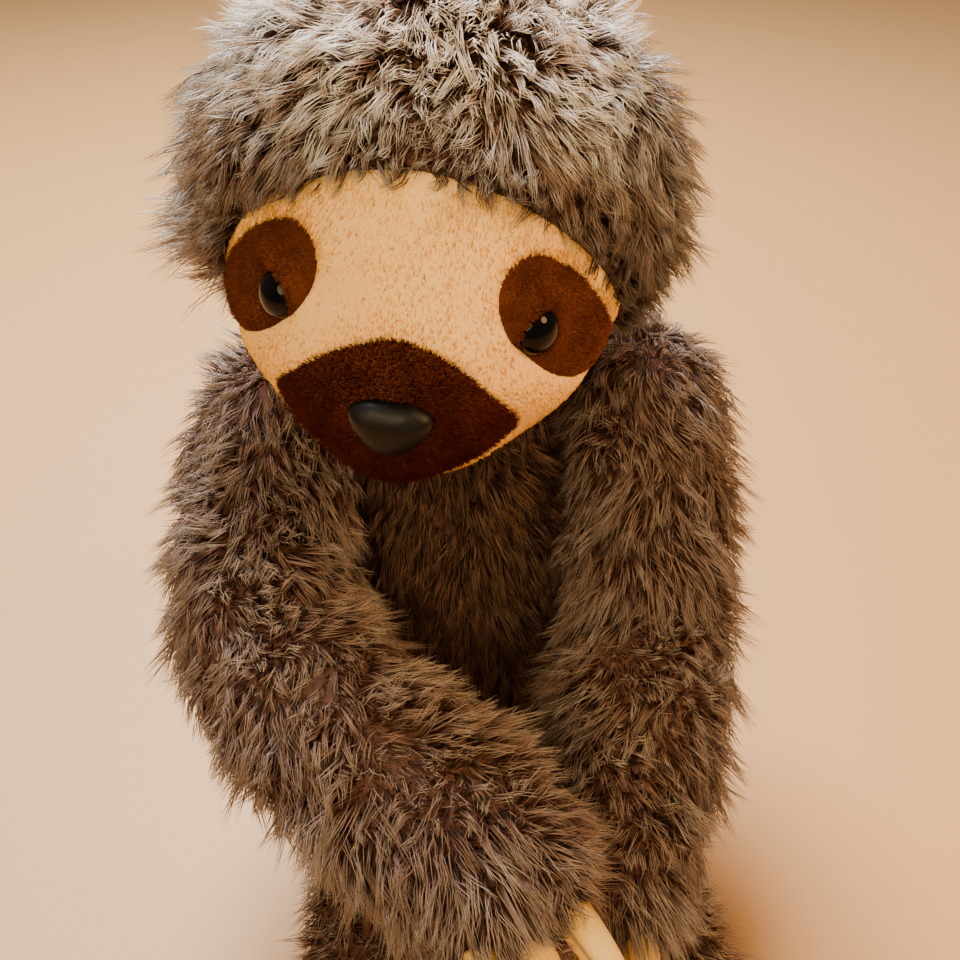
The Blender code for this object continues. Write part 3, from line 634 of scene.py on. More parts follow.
# The hood's skin is the whole head, drawn in a little under the face panels. Its pile is combed down
# over the face's edge and down behind; low at the toy's right cheek it is longer and stands outwards.
UNDER_PANEL = -0.0014
HOOD_BARE = 0.0002
HOOD_COMB_EDGE = 0.010
EDGE_SHADE_WIDTH = 0.014
BACK_COMB = np.array([0, 0.25, -0.85])
CHEEK_COMB = np.array([-0.5, 0.4, -0.6])
TRACT_CROWN = 0.62
TRACT_BACK = 0.25
aside, back, high = head_ways.T
comb = np.stack([0.32 * aside - 0.10, np.full(len(head_ways), -0.62), np.full(len(head_ways), -0.66)], 1)
behind = np.clip(back * 1.6 + 0.2, 0, 1)[:, None]
comb = comb * (1 - behind) + BACK_COMB * behind
low_cheek = (np.clip(-aside / 0.15 - 3.7, 0, 1) * np.clip(0.25 - high / 0.2, 0, 1)
             * np.clip(back / 0.12 + 5.0, 0, 1))
comb = comb * (1 - low_cheek[:, None]) + CHEEK_COMB * low_cheek[:, None]
comb -= head_ways * (comb * head_ways).sum(1)[:, None]
edge_share = np.clip((face_seam - 0.0005) / HOOD_COMB_EDGE, 0, 1)
comb *= 0.45 + 0.55 * edge_share[:, None]
# Painted light on the hood's pile: a painted highlight pales the crown's strands, and painted shade darkens
# them along the face's edge. On the side towards the warm lamp, painted shade takes the place of the crown's
# highlight.
crown_painted_highlight = np.clip((high - 0.40) / 0.40, 0, 1)
lamp_side_painted_shade = np.clip((aside - 0.55) / 0.3, 0, 1)
edge_painted_shade = np.exp(-np.maximum(face_seam, 0) / EDGE_SHADE_WIDTH) * (1 - low_cheek)
hood_out = np.where(in_face, UNDER_PANEL, out)
head_skin = cloth_object("head_skin", to_world(surface + head_ways * hood_out[:, None]), head_faces, {
    "cover": np.where(face_seam > HOOD_BARE, 1.0, 0.0),
    "comb": turn_ways(comb),
    "pile": 0.62 + 0.38 * np.maximum(edge_share, low_cheek) + 0.60 * low_cheek,
    "tract": np.where(back > TRACT_BACK, 3, np.where(high > TRACT_CROWN, 1, np.where(aside < 0, 0, 2))),
    "painted_light": edge_painted_shade - 0.95 * crown_painted_highlight * (1 - lamp_side_painted_shade) + 0.30 * lamp_side_painted_shade,
}, undercloth)
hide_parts("head_cover", "head_filling")
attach(head_skin, "head")

HOOD_STRANDS = 1.95e6
HOOD_TUFTS = 2.4e5
BACK_SHARE = 0.38
for k, part_name in enumerate(("hood_pile_right", "hood_pile_crown", "hood_pile_left", "hood_pile_back")):
    strands, segments = (HOOD_STRANDS, 3) if k < 3 else (HOOD_STRANDS * BACK_SHARE, 2)
    hood_fur = grow_pile(part_name, head_skin, hood_pile, Strands=strands, Tufts=HOOD_TUFTS, Segments=segments,
                         Length=0.0104, Width=0.00038, Lift=0.70, Swirl=0.52, Stray=0.30, Gather=0.66,
                         Crook=0.0019, Tract=float(k), Seed=20 + k)
    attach(hood_fur, "head")


# Face: four panels of short-napped pile sewn edge to edge: cream, a rust muzzle and two rust eye
# patches. Each panel swells a little between its seams, and the patches are drawn in round the eyes.
def panel_shell(name, region, comb, pile, cover, finish):
    """One panel as a closed shell: its outer skin, an inner skin and a wall along the seam."""
    faces = head_faces[face_region == region]
    used = np.unique(faces)
    index = np.full(len(head_ways), -1)
    index[used] = np.arange(len(used))
    outer = index[faces]
    edges = {}
    for a, b, c in outer:
        for edge in ((a, b), (b, c), (c, a)):
            edges[tuple(sorted(edge))] = None if tuple(sorted(edge)) in edges else edge
    count = len(used)
    walls = [(b, a, a + count, b + count) for a, b in filter(None, edges.values())]
    inner = outer[:, ::-1] + count
    points = np.concatenate([skin[used], skin[used] - head_ways[used] * PANEL_WALL])
    return cloth_object(name, to_world(points), [*outer.tolist(), *inner.tolist(), *walls], {
        "cover": np.concatenate([cover[used], np.zeros(count)]),
        "comb": turn_ways(np.concatenate([comb[used]] * 2)),
        "pile": np.concatenate([pile[used]] * 2),
        "tract": np.zeros(2 * count),
    }, finish)


def tangent(ways):
    """The part of a direction that lies along the skin."""
    return ways - head_ways * (ways * head_ways).sum(1)[:, None]


# Short nap has two shades in soft blotches and is darker at its roots.
short_nap, given, result = named_group("short_nap", [
    ("Deep", "Color"), ("Light", "Color"), ("Blotches", "Float"),
    ("Root Share", "Float"), ("Least", "Float"), ("Most", "Float"),
], ("Colour", "Color"))
cloud = node(short_nap, "ShaderNodeTexNoise", {
    "Vector": object_place(short_nap), "Scale": given["Blotches"], "Detail": 3.0,
}).outputs["Fac"]
blotched = ranged(short_nap, cloud, From_Min=0.35, From_Max=0.65)
shade = ranged(short_nap, marked(short_nap, "tint"), To_Min=given["Least"], To_Max=given["Most"])
depth = ranged(short_nap, marked(short_nap, "along"), From_Max=0.7, To_Min=given["Root Share"])
hue = node(short_nap, "ShaderNodeHueSaturation", {
    "Color": mixed_colour(short_nap, blotched, given["Deep"], given["Light"]),
    "Value": reckoned(short_nap, "MULTIPLY", shade, depth),
}).outputs[0]
short_nap.links.new(hue, result)

NAP_GLOSS = 0.05


def napped_finish(name, colours, roughness, blotches, root_share, spread=0.19, weave=0.0):
    """The short pile of a panel, or with a weave its backing cloth."""
    finish, tree, shader = plain_material(name, colours[0], roughness)
    shader.inputs["Specular IOR Level"].default_value = NAP_GLOSS
    nap = node(tree, "ShaderNodeGroup", {
        "Deep": (*colours[0], 1), "Light": (*colours[1], 1), "Blotches": blotches,
        "Root Share": root_share, "Least": 1 - spread, "Most": 1 + spread,
    }, node_tree=short_nap)
    tree.links.new(nap.outputs["Colour"], shader.inputs["Base Color"])
    if weave:
        threads = node(tree, "ShaderNodeTexVoronoi", {"Vector": object_place(tree), "Scale": weave})
        bumped(tree, shader, threads.outputs["Distance"], 0.5, 0.0002)
    return finish


CREAM = ((1.0, 0.56, 0.085), (1.0, 0.61, 0.130))
CREAM_BACKING = ((1.0, 0.64, 0.24), (1.0, 0.68, 0.30))
MUZZLE_RUST = ((0.056, 0.0085, 0.0045), (0.096, 0.0170, 0.0075))
PATCH_RUST = ((0.135, 0.037, 0.012), (0.205, 0.058, 0.018))
cream_pile = napped_finish("cream_pile", CREAM, 0.85, 120.0, 0.92, 0.06)
muzzle_pile = napped_finish("muzzle_pile", MUZZLE_RUST, 0.70, 160.0, 0.55)
patch_pile = napped_finish("patch_pile", PATCH_RUST, 0.70, 160.0, 0.62)
cream_cloth = napped_finish("cream_cloth", CREAM_BACKING, 0.9, 120.0, 0.96, 0.0, 1600.0)
rust_cloth = napped_finish("rust_cloth", PATCH_RUST, 0.9, 160.0, 0.55, 0.0, 1600.0)

NOSE_DROP = 0.0250
EYE_ROOM = 0.0054
NOSE_ROOM = 0.0055
LEAN_IN_WIDTH = 0.008
away_right = np.linalg.norm(surface - eye_points["right"], axis=1)
away_left = np.linalg.norm(surface - eye_points["left"], axis=1)
nearest_eye = np.minimum(away_right, away_left)
from_nose = surface - face_point(0, -NOSE_DROP)
nose_away = np.linalg.norm(from_nose, axis=1)

# The cream is combed down and outwards, the muzzle away from the nose and the patches outwards, but
# close to an eye their nap leans in over it.
level = np.zeros(len(head_ways))
down = tangent(np.array([0.0, -0.5, -1.0]) + np.stack([aside * 0.8, level, level], 1))
round_nose = tangent(from_nose / np.maximum(nose_away, 1e-6)[:, None])
swept = tangent(np.stack([aside * 1.4, level, level - 0.25], 1))
nearer = np.where((away_right < away_left)[:, None], eye_points["right"], eye_points["left"])
over_eye = tangent((nearer - surface) / np.maximum(nearest_eye, 1e-6)[:, None])
lean_in = np.exp(-((nearest_eye / LEAN_IN_WIDTH) ** 2))[:, None]
patch_comb = swept * (1 - lean_in) + over_eye * lean_in * 0.5

cover = np.where((nearest_eye < EYE_ROOM) | (nose_away < NOSE_ROOM), 0.0, 1.0)
seam_trim = 0.55 + 0.45 * np.clip(nearest_seam / 0.004, 0, 1)
CREAM_NAP = {"Width": 0.00034, "Lift": 0.25, "Stray": 0.22}
RUST_NAP = {"Width": 0.00022, "Lift": 0.50, "Stray": 0.35}
panels = (
    ("face_panel", FACE, down * 1.1, 0.62, cream_cloth, cream_pile, "cream_pile", 3.8e6),
    ("muzzle_panel", MUZZLE, round_nose * 0.8, 1.0, rust_cloth, muzzle_pile, "rust_pile", 8.5e6),
    ("eye_patch_right", PATCH_RIGHT, patch_comb, 0.8, rust_cloth, patch_pile, "rust_pile", 9.0e6),
    ("eye_patch_left", PATCH_LEFT, patch_comb, 0.8, rust_cloth, patch_pile, "rust_pile", 9.0e6),
)
for k, (panel, region, comb, pile_share, cloth, pile, slot, strands) in enumerate(panels):
    pile_shares = pile_share * (np.ones(len(head_ways)) if region == FACE else seam_trim)
    shell = panel_shell(panel + "_cloth", region, comb, pile_shares, cover, cloth)
    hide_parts(panel)
    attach(shell, "head")
    nap = CREAM_NAP if region == FACE else RUST_NAP
    fur = grow_pile(panel + "_nap", shell, pile, Strands=strands, Tufts=1.4e6, Segments=1, Length=0.0018,
                    Swirl=0.25, Gather=0.45, Crook=0.0, Seed=40 + k, **nap)
    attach(fur, "head")


# Eyes: black moulded domes on shanks, seated in the dimples, with plush standing over their upper rim.
EYE_WIDTH = 0.0114
EYE_BULGE = 0.0046
EYE_EDGE = 0.0003
EYE_LOW = -0.0018
SHANK_DIAMETER = 0.0036
SHANK_LENGTH = 0.011
EYE_TURNS = 64
EYE_RINGS = 14


def moulding(name, rings, ends, place, finish):
    """A closed solid through rings of points, with a pole beyond its first and its last ring."""
    form = bmesh.new()
    loops = [[form.verts.new(point) for point in ring] for ring in rings]
    for low, high in zip(loops, loops[1:]):
        for k in range(len(low)):
            form.faces.new((low[k - 1], low[k], high[k], high[k - 1]))
    for loop, end in ((loops[0], ends[0]), (loops[-1], ends[1])):
        pole = form.verts.new(end)
        for k in range(len(loop)):
            form.faces.new((loop[k - 1], loop[k], pole))
    bmesh.ops.recalc_face_normals(form, faces=form.faces)
    bmesh.ops.transform(form, matrix=place, verts=form.verts)
    mesh = bpy.data.meshes.new(name)
    form.to_mesh(mesh)
    form.free()
    mesh.shade_smooth()
    mesh.materials.append(finish)
    made = bpy.data.objects.new(name, mesh)
    scene.collection.objects.link(made)
    return made


def face_frame(x, z):
    """The place and way of a moulded piece on the face, +Z outwards, in the toy's frame."""
    step = 0.002
    at = Vector(face_point(x, z))
    across = Vector(face_point(x + step, z)) - Vector(face_point(x - step, z))
    upward = Vector(face_point(x, z + step)) - Vector(face_point(x, z - step))
    normal = across.cross(upward).normalized()
    normal = normal if normal.y < 0 else -normal
    side = Vector((1, 0, 0))
    turned_side = (side - normal * side.dot(normal)).normalized()
    frame_matrix = Matrix((turned_side, normal.cross(turned_side), normal)).transposed().to_4x4()
    return head_place @ Matrix.Translation(HEAD_CENTRE + at) @ frame_matrix


eye_black, tree, shader = plain_material("eye_black", (0.002, 0.002, 0.003), 0.06)
shader.inputs["IOR"].default_value = 1.36
shader.inputs["Specular IOR Level"].default_value = 0.27
smear = ranged(tree, grain(tree, 420.0, 3.0), To_Min=0.02, To_Max=0.06)
tree.links.new(smear, shader.inputs["Roughness"])

half, shank = EYE_WIDTH / 2, SHANK_DIAMETER / 2
profile = [(shank, -SHANK_LENGTH), (shank, EYE_LOW), (half * 0.96, EYE_LOW), (half, EYE_LOW + EYE_EDGE)]
for t in np.linspace(0, math.pi / 2, EYE_RINGS)[1:-1]:
    profile.append((half * math.cos(t), EYE_LOW + EYE_EDGE + (EYE_BULGE - EYE_EDGE) * math.sin(t)))
eye_turns = np.linspace(0, 2 * math.pi, EYE_TURNS, endpoint=False)
eye_rings = [[(r * math.cos(t), r * math.sin(t), h) for t in eye_turns] for r, h in profile]
eye_ends = ((0, 0, -SHANK_LENGTH), (0, 0, EYE_LOW + EYE_BULGE))
for side, word in ((-1, "right"), (1, "left")):
    eye = moulding(f"eye_{word}_dome", eye_rings, eye_ends, face_frame(side * EYE_OUT, -EYE_DROP), eye_black)
    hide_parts(f"eye_{word}")
    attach(eye, "head")


# Nose: one moulded piece with a leather-like matt skin, a rounded triangle crowned towards its middle.
NOSE_WIDTH = 0.0195
NOSE_HEIGHT = 0.0135
NOSE_BULGE = 0.0055
NOSE_SEAT = 0.0003
NOSE_SHIFT = 0.0012
NOSE_RINGS = 22


NOSE_SHARES = [(0, 1.0), (0.52, 0.97), (0.95, 0.58), (0.86, -0.08), (0.42, -0.80)]
NOSE_EDGE = [(0.95, 0.0), (0.985, 0.05), (1.0, 0.12)]


def nose_outline(size_share):
    wide, high = NOSE_WIDTH / 2 * size_share, NOSE_HEIGHT / 2 * size_share
    return mirrored([(x * wide, z * high) for x, z in NOSE_SHARES], (0, -high)) - np.array([0, NOSE_SHIFT])


nose_black, tree, shader = plain_material("nose_black", (0.003, 0.003, 0.003), 0.42)
shader.inputs["IOR"].default_value = 1.31
worn = ranged(tree, grain(tree, 260.0, 3.0), To_Min=0.30, To_Max=0.55)
tree.links.new(worn, shader.inputs["Roughness"])
bumped(tree, shader, grain(tree, 3200.0, 2.0), 0.55, 0.00012)

around = nose_outline(0.2)
nose_shank = around / np.linalg.norm(around, axis=1)[:, None] * SHANK_DIAMETER / 2
nose_rings = [[(x, z, height) for x, z in nose_shank] for height in (-SHANK_LENGTH, NOSE_SEAT)]
crown_turns = np.linspace(0, math.pi / 2, NOSE_RINGS)[1:-1]
crown = [(math.cos(t) ** 0.75, 0.12 + 0.88 * math.sin(t)) for t in crown_turns]
for size_share, rise_share in NOSE_EDGE + crown:
    height = NOSE_SEAT + NOSE_BULGE * rise_share
    nose_rings.append([(x, z, height) for x, z in nose_outline(size_share)])
nose_ends = ((0, 0, -SHANK_LENGTH), (0, -NOSE_SHIFT, NOSE_SEAT + NOSE_BULGE))
nose = moulding("nose_moulding", nose_rings, nose_ends, face_frame(0, -NOSE_DROP), nose_black)
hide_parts("nose")
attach(nose, "head")


# Body: a stuffed bag of the long pile, widest low down and flat at the seat, with a round neck. Its
# cloth is drawn in where the arms and legs are sewn on; the chest's pile is the darkest, painted shade under
# the head.
BODY_HEIGHT = 0.1885
BODY_HALF_WIDTH = 0.057
BODY_HALF_DEPTH = 0.052
NECK_RADIUS = 0.030
NECK_SHIFT = -0.010
SHOULDER = (0.057, -0.004, 0.158)
SHOULDER_RADIUS = 0.0295
HIP_RADIUS = 0.025
FLOOR_CUT = 0.0005
HIP = (0.036, -0.050, HIP_RADIUS - FLOOR_CUT)
SKIN_INSET = 0.0045
SKIN_GAP = 0.0003
BODY_TURNS = 96
BODY_STEPS = 8
NECK_STEPS = 12
BODY_HEIGHT_SHARES = (0.0, 0.035, 0.12, 0.28, 0.48, 0.66, 0.80, 0.91)
BODY_WIDTH_SHARES = (0.72, 0.87, 0.98, 1.0, 0.95, 0.85, 0.73, 0.59)

body_shares = [(h * BODY_HEIGHT, w) for h, w in zip(BODY_HEIGHT_SHARES, BODY_WIDTH_SHARES)]
body_levels = smooth_through(body_shares, BODY_STEPS)
body_levels[:, 0] = np.maximum.accumulate(body_levels[:, 0])
body_top = body_levels[-1, 0]
neck_high = np.linspace(body_top, BODY_HEIGHT, NECK_STEPS)[1:]
body_high = np.concatenate([np.maximum(body_levels[:, 0], FLOOR_CUT), neck_high])
neck_mix = np.clip((body_high - body_top) / (BODY_HEIGHT - body_top), 0, 1)
share_at = np.interp(body_high, body_levels[:, 0], body_levels[:, 1])
body_wide = (share_at * BODY_HALF_WIDTH) * (1 - neck_mix) + NECK_RADIUS * neck_mix - SKIN_INSET
body_deep = (share_at * BODY_HALF_DEPTH) * (1 - neck_mix) + NECK_RADIUS * neck_mix - SKIN_INSET


def body_axis(level):
    return NECK_SHIFT * (np.clip(level, 0, BODY_HEIGHT) / BODY_HEIGHT) ** 2


def pressed_out(points, clear):
    """Points that lie in the body's cloth, moved level out of it by a distance."""
    wide = np.interp(points[:, 2], body_high, body_wide) + clear
    deep = np.interp(points[:, 2], body_high, body_deep) + clear
    aside = body_axis(points[:, 2])
    share = np.hypot((points[:, 0] - aside) / wide, points[:, 1] / deep)
    inside = (share < 1) & (points[:, 2] > 0) & (points[:, 2] < BODY_HEIGHT)
    factor = np.where(inside, 1 / np.maximum(share, 0.2), 1.0)
    return np.stack([aside + (points[:, 0] - aside) * factor, points[:, 1] * factor, points[:, 2]], 1)


def ring_faces(rings, sides, poles):
    """Quads between rings of a tube, and fans to a pole at both ends."""
    turn = np.arange(sides)
    after = (turn + 1) % sides
    faces = []
    for k in range(rings - 1):
        low, high = k * sides, (k + 1) * sides
        faces += np.stack([low + turn, low + after, high + after, high + turn], 1).tolist()
    faces += np.stack([after, turn, np.full(sides, poles[0])], 1).tolist()
    last = (rings - 1) * sides
    faces += np.stack([last + turn, last + after, np.full(sides, poles[1])], 1).tolist()
    return faces


turns = np.linspace(0, 2 * math.pi, BODY_TURNS, endpoint=False)
rows = list(zip(body_high, body_wide, body_deep))
seat_row = (FLOOR_CUT, 0.6 * rows[0][1], 0.6 * rows[0][2])
neck_row = (BODY_HEIGHT, 0.5 * rows[-1][1], 0.5 * rows[-1][2])
body_rings = []
for level, wide, deep in [seat_row, *rows, neck_row]:
    ring = [body_axis(level) + wide * np.cos(turns), deep * np.sin(turns), np.full(BODY_TURNS, level)]
    body_rings.append(np.stack(ring, 1))
body_points = np.concatenate(body_rings + [np.array([[0, 0, FLOOR_CUT], [NECK_SHIFT, 0, BODY_HEIGHT]])])
body_faces = ring_faces(len(body_rings), BODY_TURNS, (len(body_points) - 2, len(body_points) - 1))

# The cloth is drawn in to a hollow where each limb's ball is sewn on.
beside = np.full(len(body_points), 1.0)
for joint, radius in ((SHOULDER, SHOULDER_RADIUS), (HIP, HIP_RADIUS)):
    for side in (-1, 1):
        centre = np.array([side * joint[0], joint[1], joint[2]])
        room = radius - SKIN_INSET + SKIN_GAP
        axis = np.stack([body_axis(body_points[:, 2]), np.zeros(len(body_points)), body_points[:, 2]], 1)
        inwards = axis - body_points
        inwards /= np.maximum(np.linalg.norm(inwards, axis=1), 1e-6)[:, None]
        from_joint = body_points - centre
        along = (from_joint * inwards).sum(1)
        left = room**2 - ((from_joint**2).sum(1) - along**2)
        exit_at = -along + np.sqrt(np.maximum(left, 0))
        within = (from_joint**2).sum(1) < room**2
        body_points = body_points + inwards * np.where(within, exit_at, 0)[:, None]
        beside = np.minimum(beside, np.linalg.norm(body_points - centre, axis=1) - room)

# Pile grows all over the body but in the hollows, on the seat and at the neck's top.
CHEST_FLOOR = 0.045
BACK_COVER = 0.54
body_level = body_points[:, 2]
off_axis = body_points[:, 0] - body_axis(body_level)
outwards = np.stack([off_axis, body_points[:, 1] * 1.1, np.zeros(len(body_points))], 1)
outwards /= np.maximum(np.linalg.norm(outwards, axis=1), 1e-6)[:, None]
chest = (outwards[:, 1] < -0.35) & (body_level > CHEST_FLOOR)
body_cover = np.clip((beside - 0.001) / 0.004, 0, 1)
body_cover[(body_level < 0.002) | (body_level > BODY_HEIGHT - 0.001)] = 0
body_cover *= np.where(chest, 1.0, BACK_COVER)
body_comb = np.array([0, 0, -1.0]) + outwards * (0.35, 0, 0)
body_comb *= np.clip((BODY_HEIGHT - body_level) / 0.014, 0.15, 1)[:, None]

FUR_WARM = ((0.072, 0.028, 0.014), (0.125, 0.055, 0.032), (0.210, 0.130, 0.090), (0.35, 0.27, 0.215))
FUR_GREY = ((0.072, 0.030, 0.017), (0.135, 0.070, 0.045), (0.275, 0.205, 0.165), (0.52, 0.48, 0.44))
# Painted shade: the chest's colours are far darker than the rest of the pile, for the shade under the head.
CHEST_SHADED_WARM = ((0.014, 0.005, 0.003), (0.055, 0.021, 0.010), (0.12, 0.058, 0.030), (0.21, 0.125, 0.070))
CHEST_SHADED_GREY = ((0.014, 0.005, 0.003), (0.060, 0.025, 0.013), (0.15, 0.085, 0.050), (0.27, 0.19, 0.13))
fur_pile = pile_finish("fur_pile", FUR_WARM, FUR_GREY, 0.55)
chest_pile_painted_shade = pile_finish("chest_pile_painted_shade", CHEST_SHADED_WARM, CHEST_SHADED_GREY, 0.6)

body_skin = cloth_object("body_skin", body_points, body_faces, {
    "cover": body_cover,
    "comb": body_comb,
    "pile": np.full(len(body_points), 1.0),
    "tract": np.where(chest, 0.0, np.where(outwards[:, 0] < 0, 1.0, 2.0)),
}, undercloth)
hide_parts("body_cover", "body_filling")
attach(body_skin, "torso")
for k, (word, finish) in enumerate((("chest", chest_pile_painted_shade), ("back_right", fur_pile), ("back_left", fur_pile))):
    body_fur = grow_pile(f"body_pile_{word}", body_skin, finish, Strands=0.85e6, Tufts=1.8e5, Segments=2,
                         Length=0.0105, Width=0.00046, Lift=0.62, Swirl=0.6, Stray=0.28, Gather=0.62,
                         Crook=0.0017, Tract=float(k), Floor=FLOOR_CUT, Seed=60 + k)
    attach(body_fur, "torso")


# Limbs: stuffed sleeves of the long pile, each closed round its end and sewn on at a ball of cloth. The
# right arm lies over the left; both legs lie forward on the table.
ARM_RADII = (SHOULDER_RADIUS, 0.0278, 0.0288, 0.0268)
LEG_RADII = (HIP_RADIUS, 0.0245, 0.0235)
RIGHT_ARM = (
    (-0.057, -0.004, 0.158), (-0.067, -0.052, 0.124), (-0.039, -0.098, 0.115), (-0.009, -0.132, 0.1085),
)
LEFT_ARM = (SHOULDER, (0.054, -0.048, 0.110), (0.039, -0.090, 0.086), (0.024, -0.120, 0.0750))
LEG = (HIP, (0.043, -0.100, 0.0240), (0.047, -0.158, 0.0230))
SHOULDER_ROOM = 0.020
BARE_SPOT = (0.004, -0.153, 0.118)
BARE_WIDTH = 0.015
LOWER_ARM_SHARE = 0.45
LIMB_FALL = np.array([0, 0, -0.45])
LIMB_STEPS = 16
LIMB_TURNS = 56
CAP_RINGS = 10


def limb_rings(points, radii):
    """Rings round a limb's path with a ball at both ends, and the way of the path at each ring."""
    path = smooth_through(points, LIMB_STEPS)
    widths = smooth_through([(r, 0) for r in radii], LIMB_STEPS)[:, 0] - SKIN_INSET
    ways = np.gradient(path, axis=0)
    ways /= np.linalg.norm(ways, axis=1)[:, None]
    bends = np.linspace(math.pi / 2, 0, CAP_RINGS + 1)[1:-1]
    stations = [(path[0] - ways[0] * widths[0] * math.sin(a), ways[0], widths[0] * math.cos(a)) for a in bends]
    stations += list(zip(path, ways, widths))
    for a in bends[::-1]:
        stations.append((path[-1] + ways[-1] * widths[-1] * math.sin(a), ways[-1], widths[-1] * math.cos(a)))
    across = np.cross(ways[0], (0, 0, 1))
    around = np.linspace(0, 2 * math.pi, LIMB_TURNS, endpoint=False)[:, None]
    rings, headings = [], []
    for at, way, radius in stations:
        across = across - way * (across @ way)
        across /= np.linalg.norm(across)
        rings.append(at + radius * (across * np.cos(around) + np.cross(way, across) * np.sin(around)))
        headings.append(np.repeat(way[None], LIMB_TURNS, 0))
    poles = np.array([path[0] - ways[0] * widths[0], path[-1] + ways[-1] * widths[-1]])
    return np.concatenate([*rings, poles]), np.concatenate([*headings, ways[[0, -1]]]), len(rings), path


limbs = (
    ("arm_right", RIGHT_ARM, ARM_RADII, 0.92e6, 2),
    ("arm_left", LEFT_ARM, ARM_RADII, 0.88e6, 2),
    ("leg_right", [(-x, y, z) for x, y, z in LEG], LEG_RADII, 0.38e6, 1),
    ("leg_left", LEG, LEG_RADII, 0.38e6, 1),
)
for k, (limb, points, radii, strands, tracts) in enumerate(limbs):
    skin_points, headings, rings, path = limb_rings(points, radii)
    root, reach = path[0], path[-1] - path[0]

    # Off its ball, the limb lies outside the body's cloth, and an arm keeps clear of it at the shoulder.
    off_ball = np.linalg.norm(skin_points - root, axis=1) > radii[0] - SKIN_INSET + 1e-5
    skin_points = np.where(off_ball[:, None], pressed_out(skin_points, SKIN_GAP), skin_points)
    if limb.startswith("arm"):
        inner = abs(skin_points[:, 0]) < abs(root[0])
        beside_body = inner & (skin_points[:, 1] > root[1] - SHOULDER_ROOM)
        roomed = off_ball & (beside_body | (skin_points[:, 1] > root[1]))
        from_root = skin_points - root
        on_ball = root + from_root / np.linalg.norm(from_root, axis=1)[:, None] * (radii[0] - SKIN_INSET)
        skin_points = np.where(roomed[:, None], on_ball, skin_points)
    skin_points[:, 2] = np.maximum(skin_points[:, 2], FLOOR_CUT)

    # Its pile is thin and short against the body and the table, and short over the bare claws.
    moved = np.linalg.norm(pressed_out(skin_points, 0.004) - skin_points, axis=1)
    free = np.clip(1 - moved / 0.003, 0, 1) * np.clip((skin_points[:, 2] - 0.001) / 0.004, 0, 1)
    off_claws = np.linalg.norm(skin_points - np.array(BARE_SPOT), axis=1)
    reached = np.clip(((skin_points - root) @ reach) / (reach @ reach), 0, 1)
    limb_comb = headings * 0.60 + LIMB_FALL
    centre_line = path[np.argmin(np.linalg.norm(skin_points[:, None] - path[None, ::4], axis=2), axis=1) * 4]
    outward = skin_points - centre_line
    outward /= np.maximum(np.linalg.norm(outward, axis=1), 1e-6)[:, None]
    limb_comb -= outward * (limb_comb * outward).sum(1)[:, None]
    limb_faces = ring_faces(rings, LIMB_TURNS, (len(skin_points) - 2, len(skin_points) - 1))
    limb_skin = cloth_object(f"{limb}_skin", skin_points, limb_faces, {
        "cover": 0.3 + 0.7 * free,
        "comb": limb_comb,
        "pile": (0.3 + 0.7 * free) * (1.0 - 0.55 * np.exp(-((off_claws / BARE_WIDTH) ** 2))),
        "tract": np.where((reached > LOWER_ARM_SHARE) & (tracts == 2), 1.0, 0.0),
    }, undercloth)
    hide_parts(f"{limb}_cover", f"{limb}_filling")
    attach(limb_skin, limb)
    for part in range(tracts):
        word = f"{limb}_pile" + (f"_{('upper', 'lower')[part]}" if tracts == 2 else "")
        limb_fur = grow_pile(word, limb_skin, fur_pile, Strands=strands, Tufts=1.8e5, Segments=2,
                             Length=0.0094, Width=0.00047, Lift=0.70, Swirl=0.80, Stray=0.30, Gather=0.64,
                             Crook=0.0019, Tract=float(part), Floor=FLOOR_CUT, Seed=70 + 3 * k + part)
        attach(limb_fur, limb)


# Claws: stuffed fingers of cream ribbed cloth, each closed by one seam down its side and caught in the
# end seam of its limb.
CLAW_LENGTH = 0.034
CLAW_RADIUS = 0.0051
CLAW_TIP_RADIUS = 0.0012
CLAW_SPACING = 0.0125
CLAW_ROOT = 0.005
CLAW_DROP = 0.010
CLAW_TAPER = 1.6
CLAW_RINGS = 48
CLAW_TURNS = 28
TIP_RINGS = 5
RIB_PITCH = 0.00050
RIB_TROUGH_SHADE = (0.68, 0.39, 0.095, 1)
RIB_LIGHT = (0.86, 0.53, 0.155, 1)
SEAM_SHADE = (0.30, 0.165, 0.055, 1)
SEAM_GROOVE = 0.00028
SEAM_ANGLE_WIDTH = 0.14
SEAM_AT = math.pi / 2 + 1.0

claw_cream, tree, shader = plain_material("claw_cloth_ribbed", (0.84, 0.55, 0.20), 0.85)
shader.inputs["Specular IOR Level"].default_value = 0.2
rib_turn = reckoned(tree, "MULTIPLY", marked(tree, "run"), 2 * math.pi / RIB_PITCH)
rib = ranged(tree, reckoned(tree, "SINE", rib_turn), From_Min=-1.0)
bumped(tree, shader, reckoned(tree, "MULTIPLY_ADD", grain(tree, 2600.0, 2.0), 0.6, rib), 0.5, 0.00022)
# Painted shade: the rib wave that raises the cloth also darkens its colour in each trough, and the seam's
# groove is coloured in a painted shade.
ribs_with_trough_shade = mixed_colour(tree, rib, RIB_TROUGH_SHADE, RIB_LIGHT)
tree.links.new(mixed_colour(tree, marked(tree, "seam"), ribs_with_trough_shade, SEAM_SHADE), shader.inputs["Base Color"])


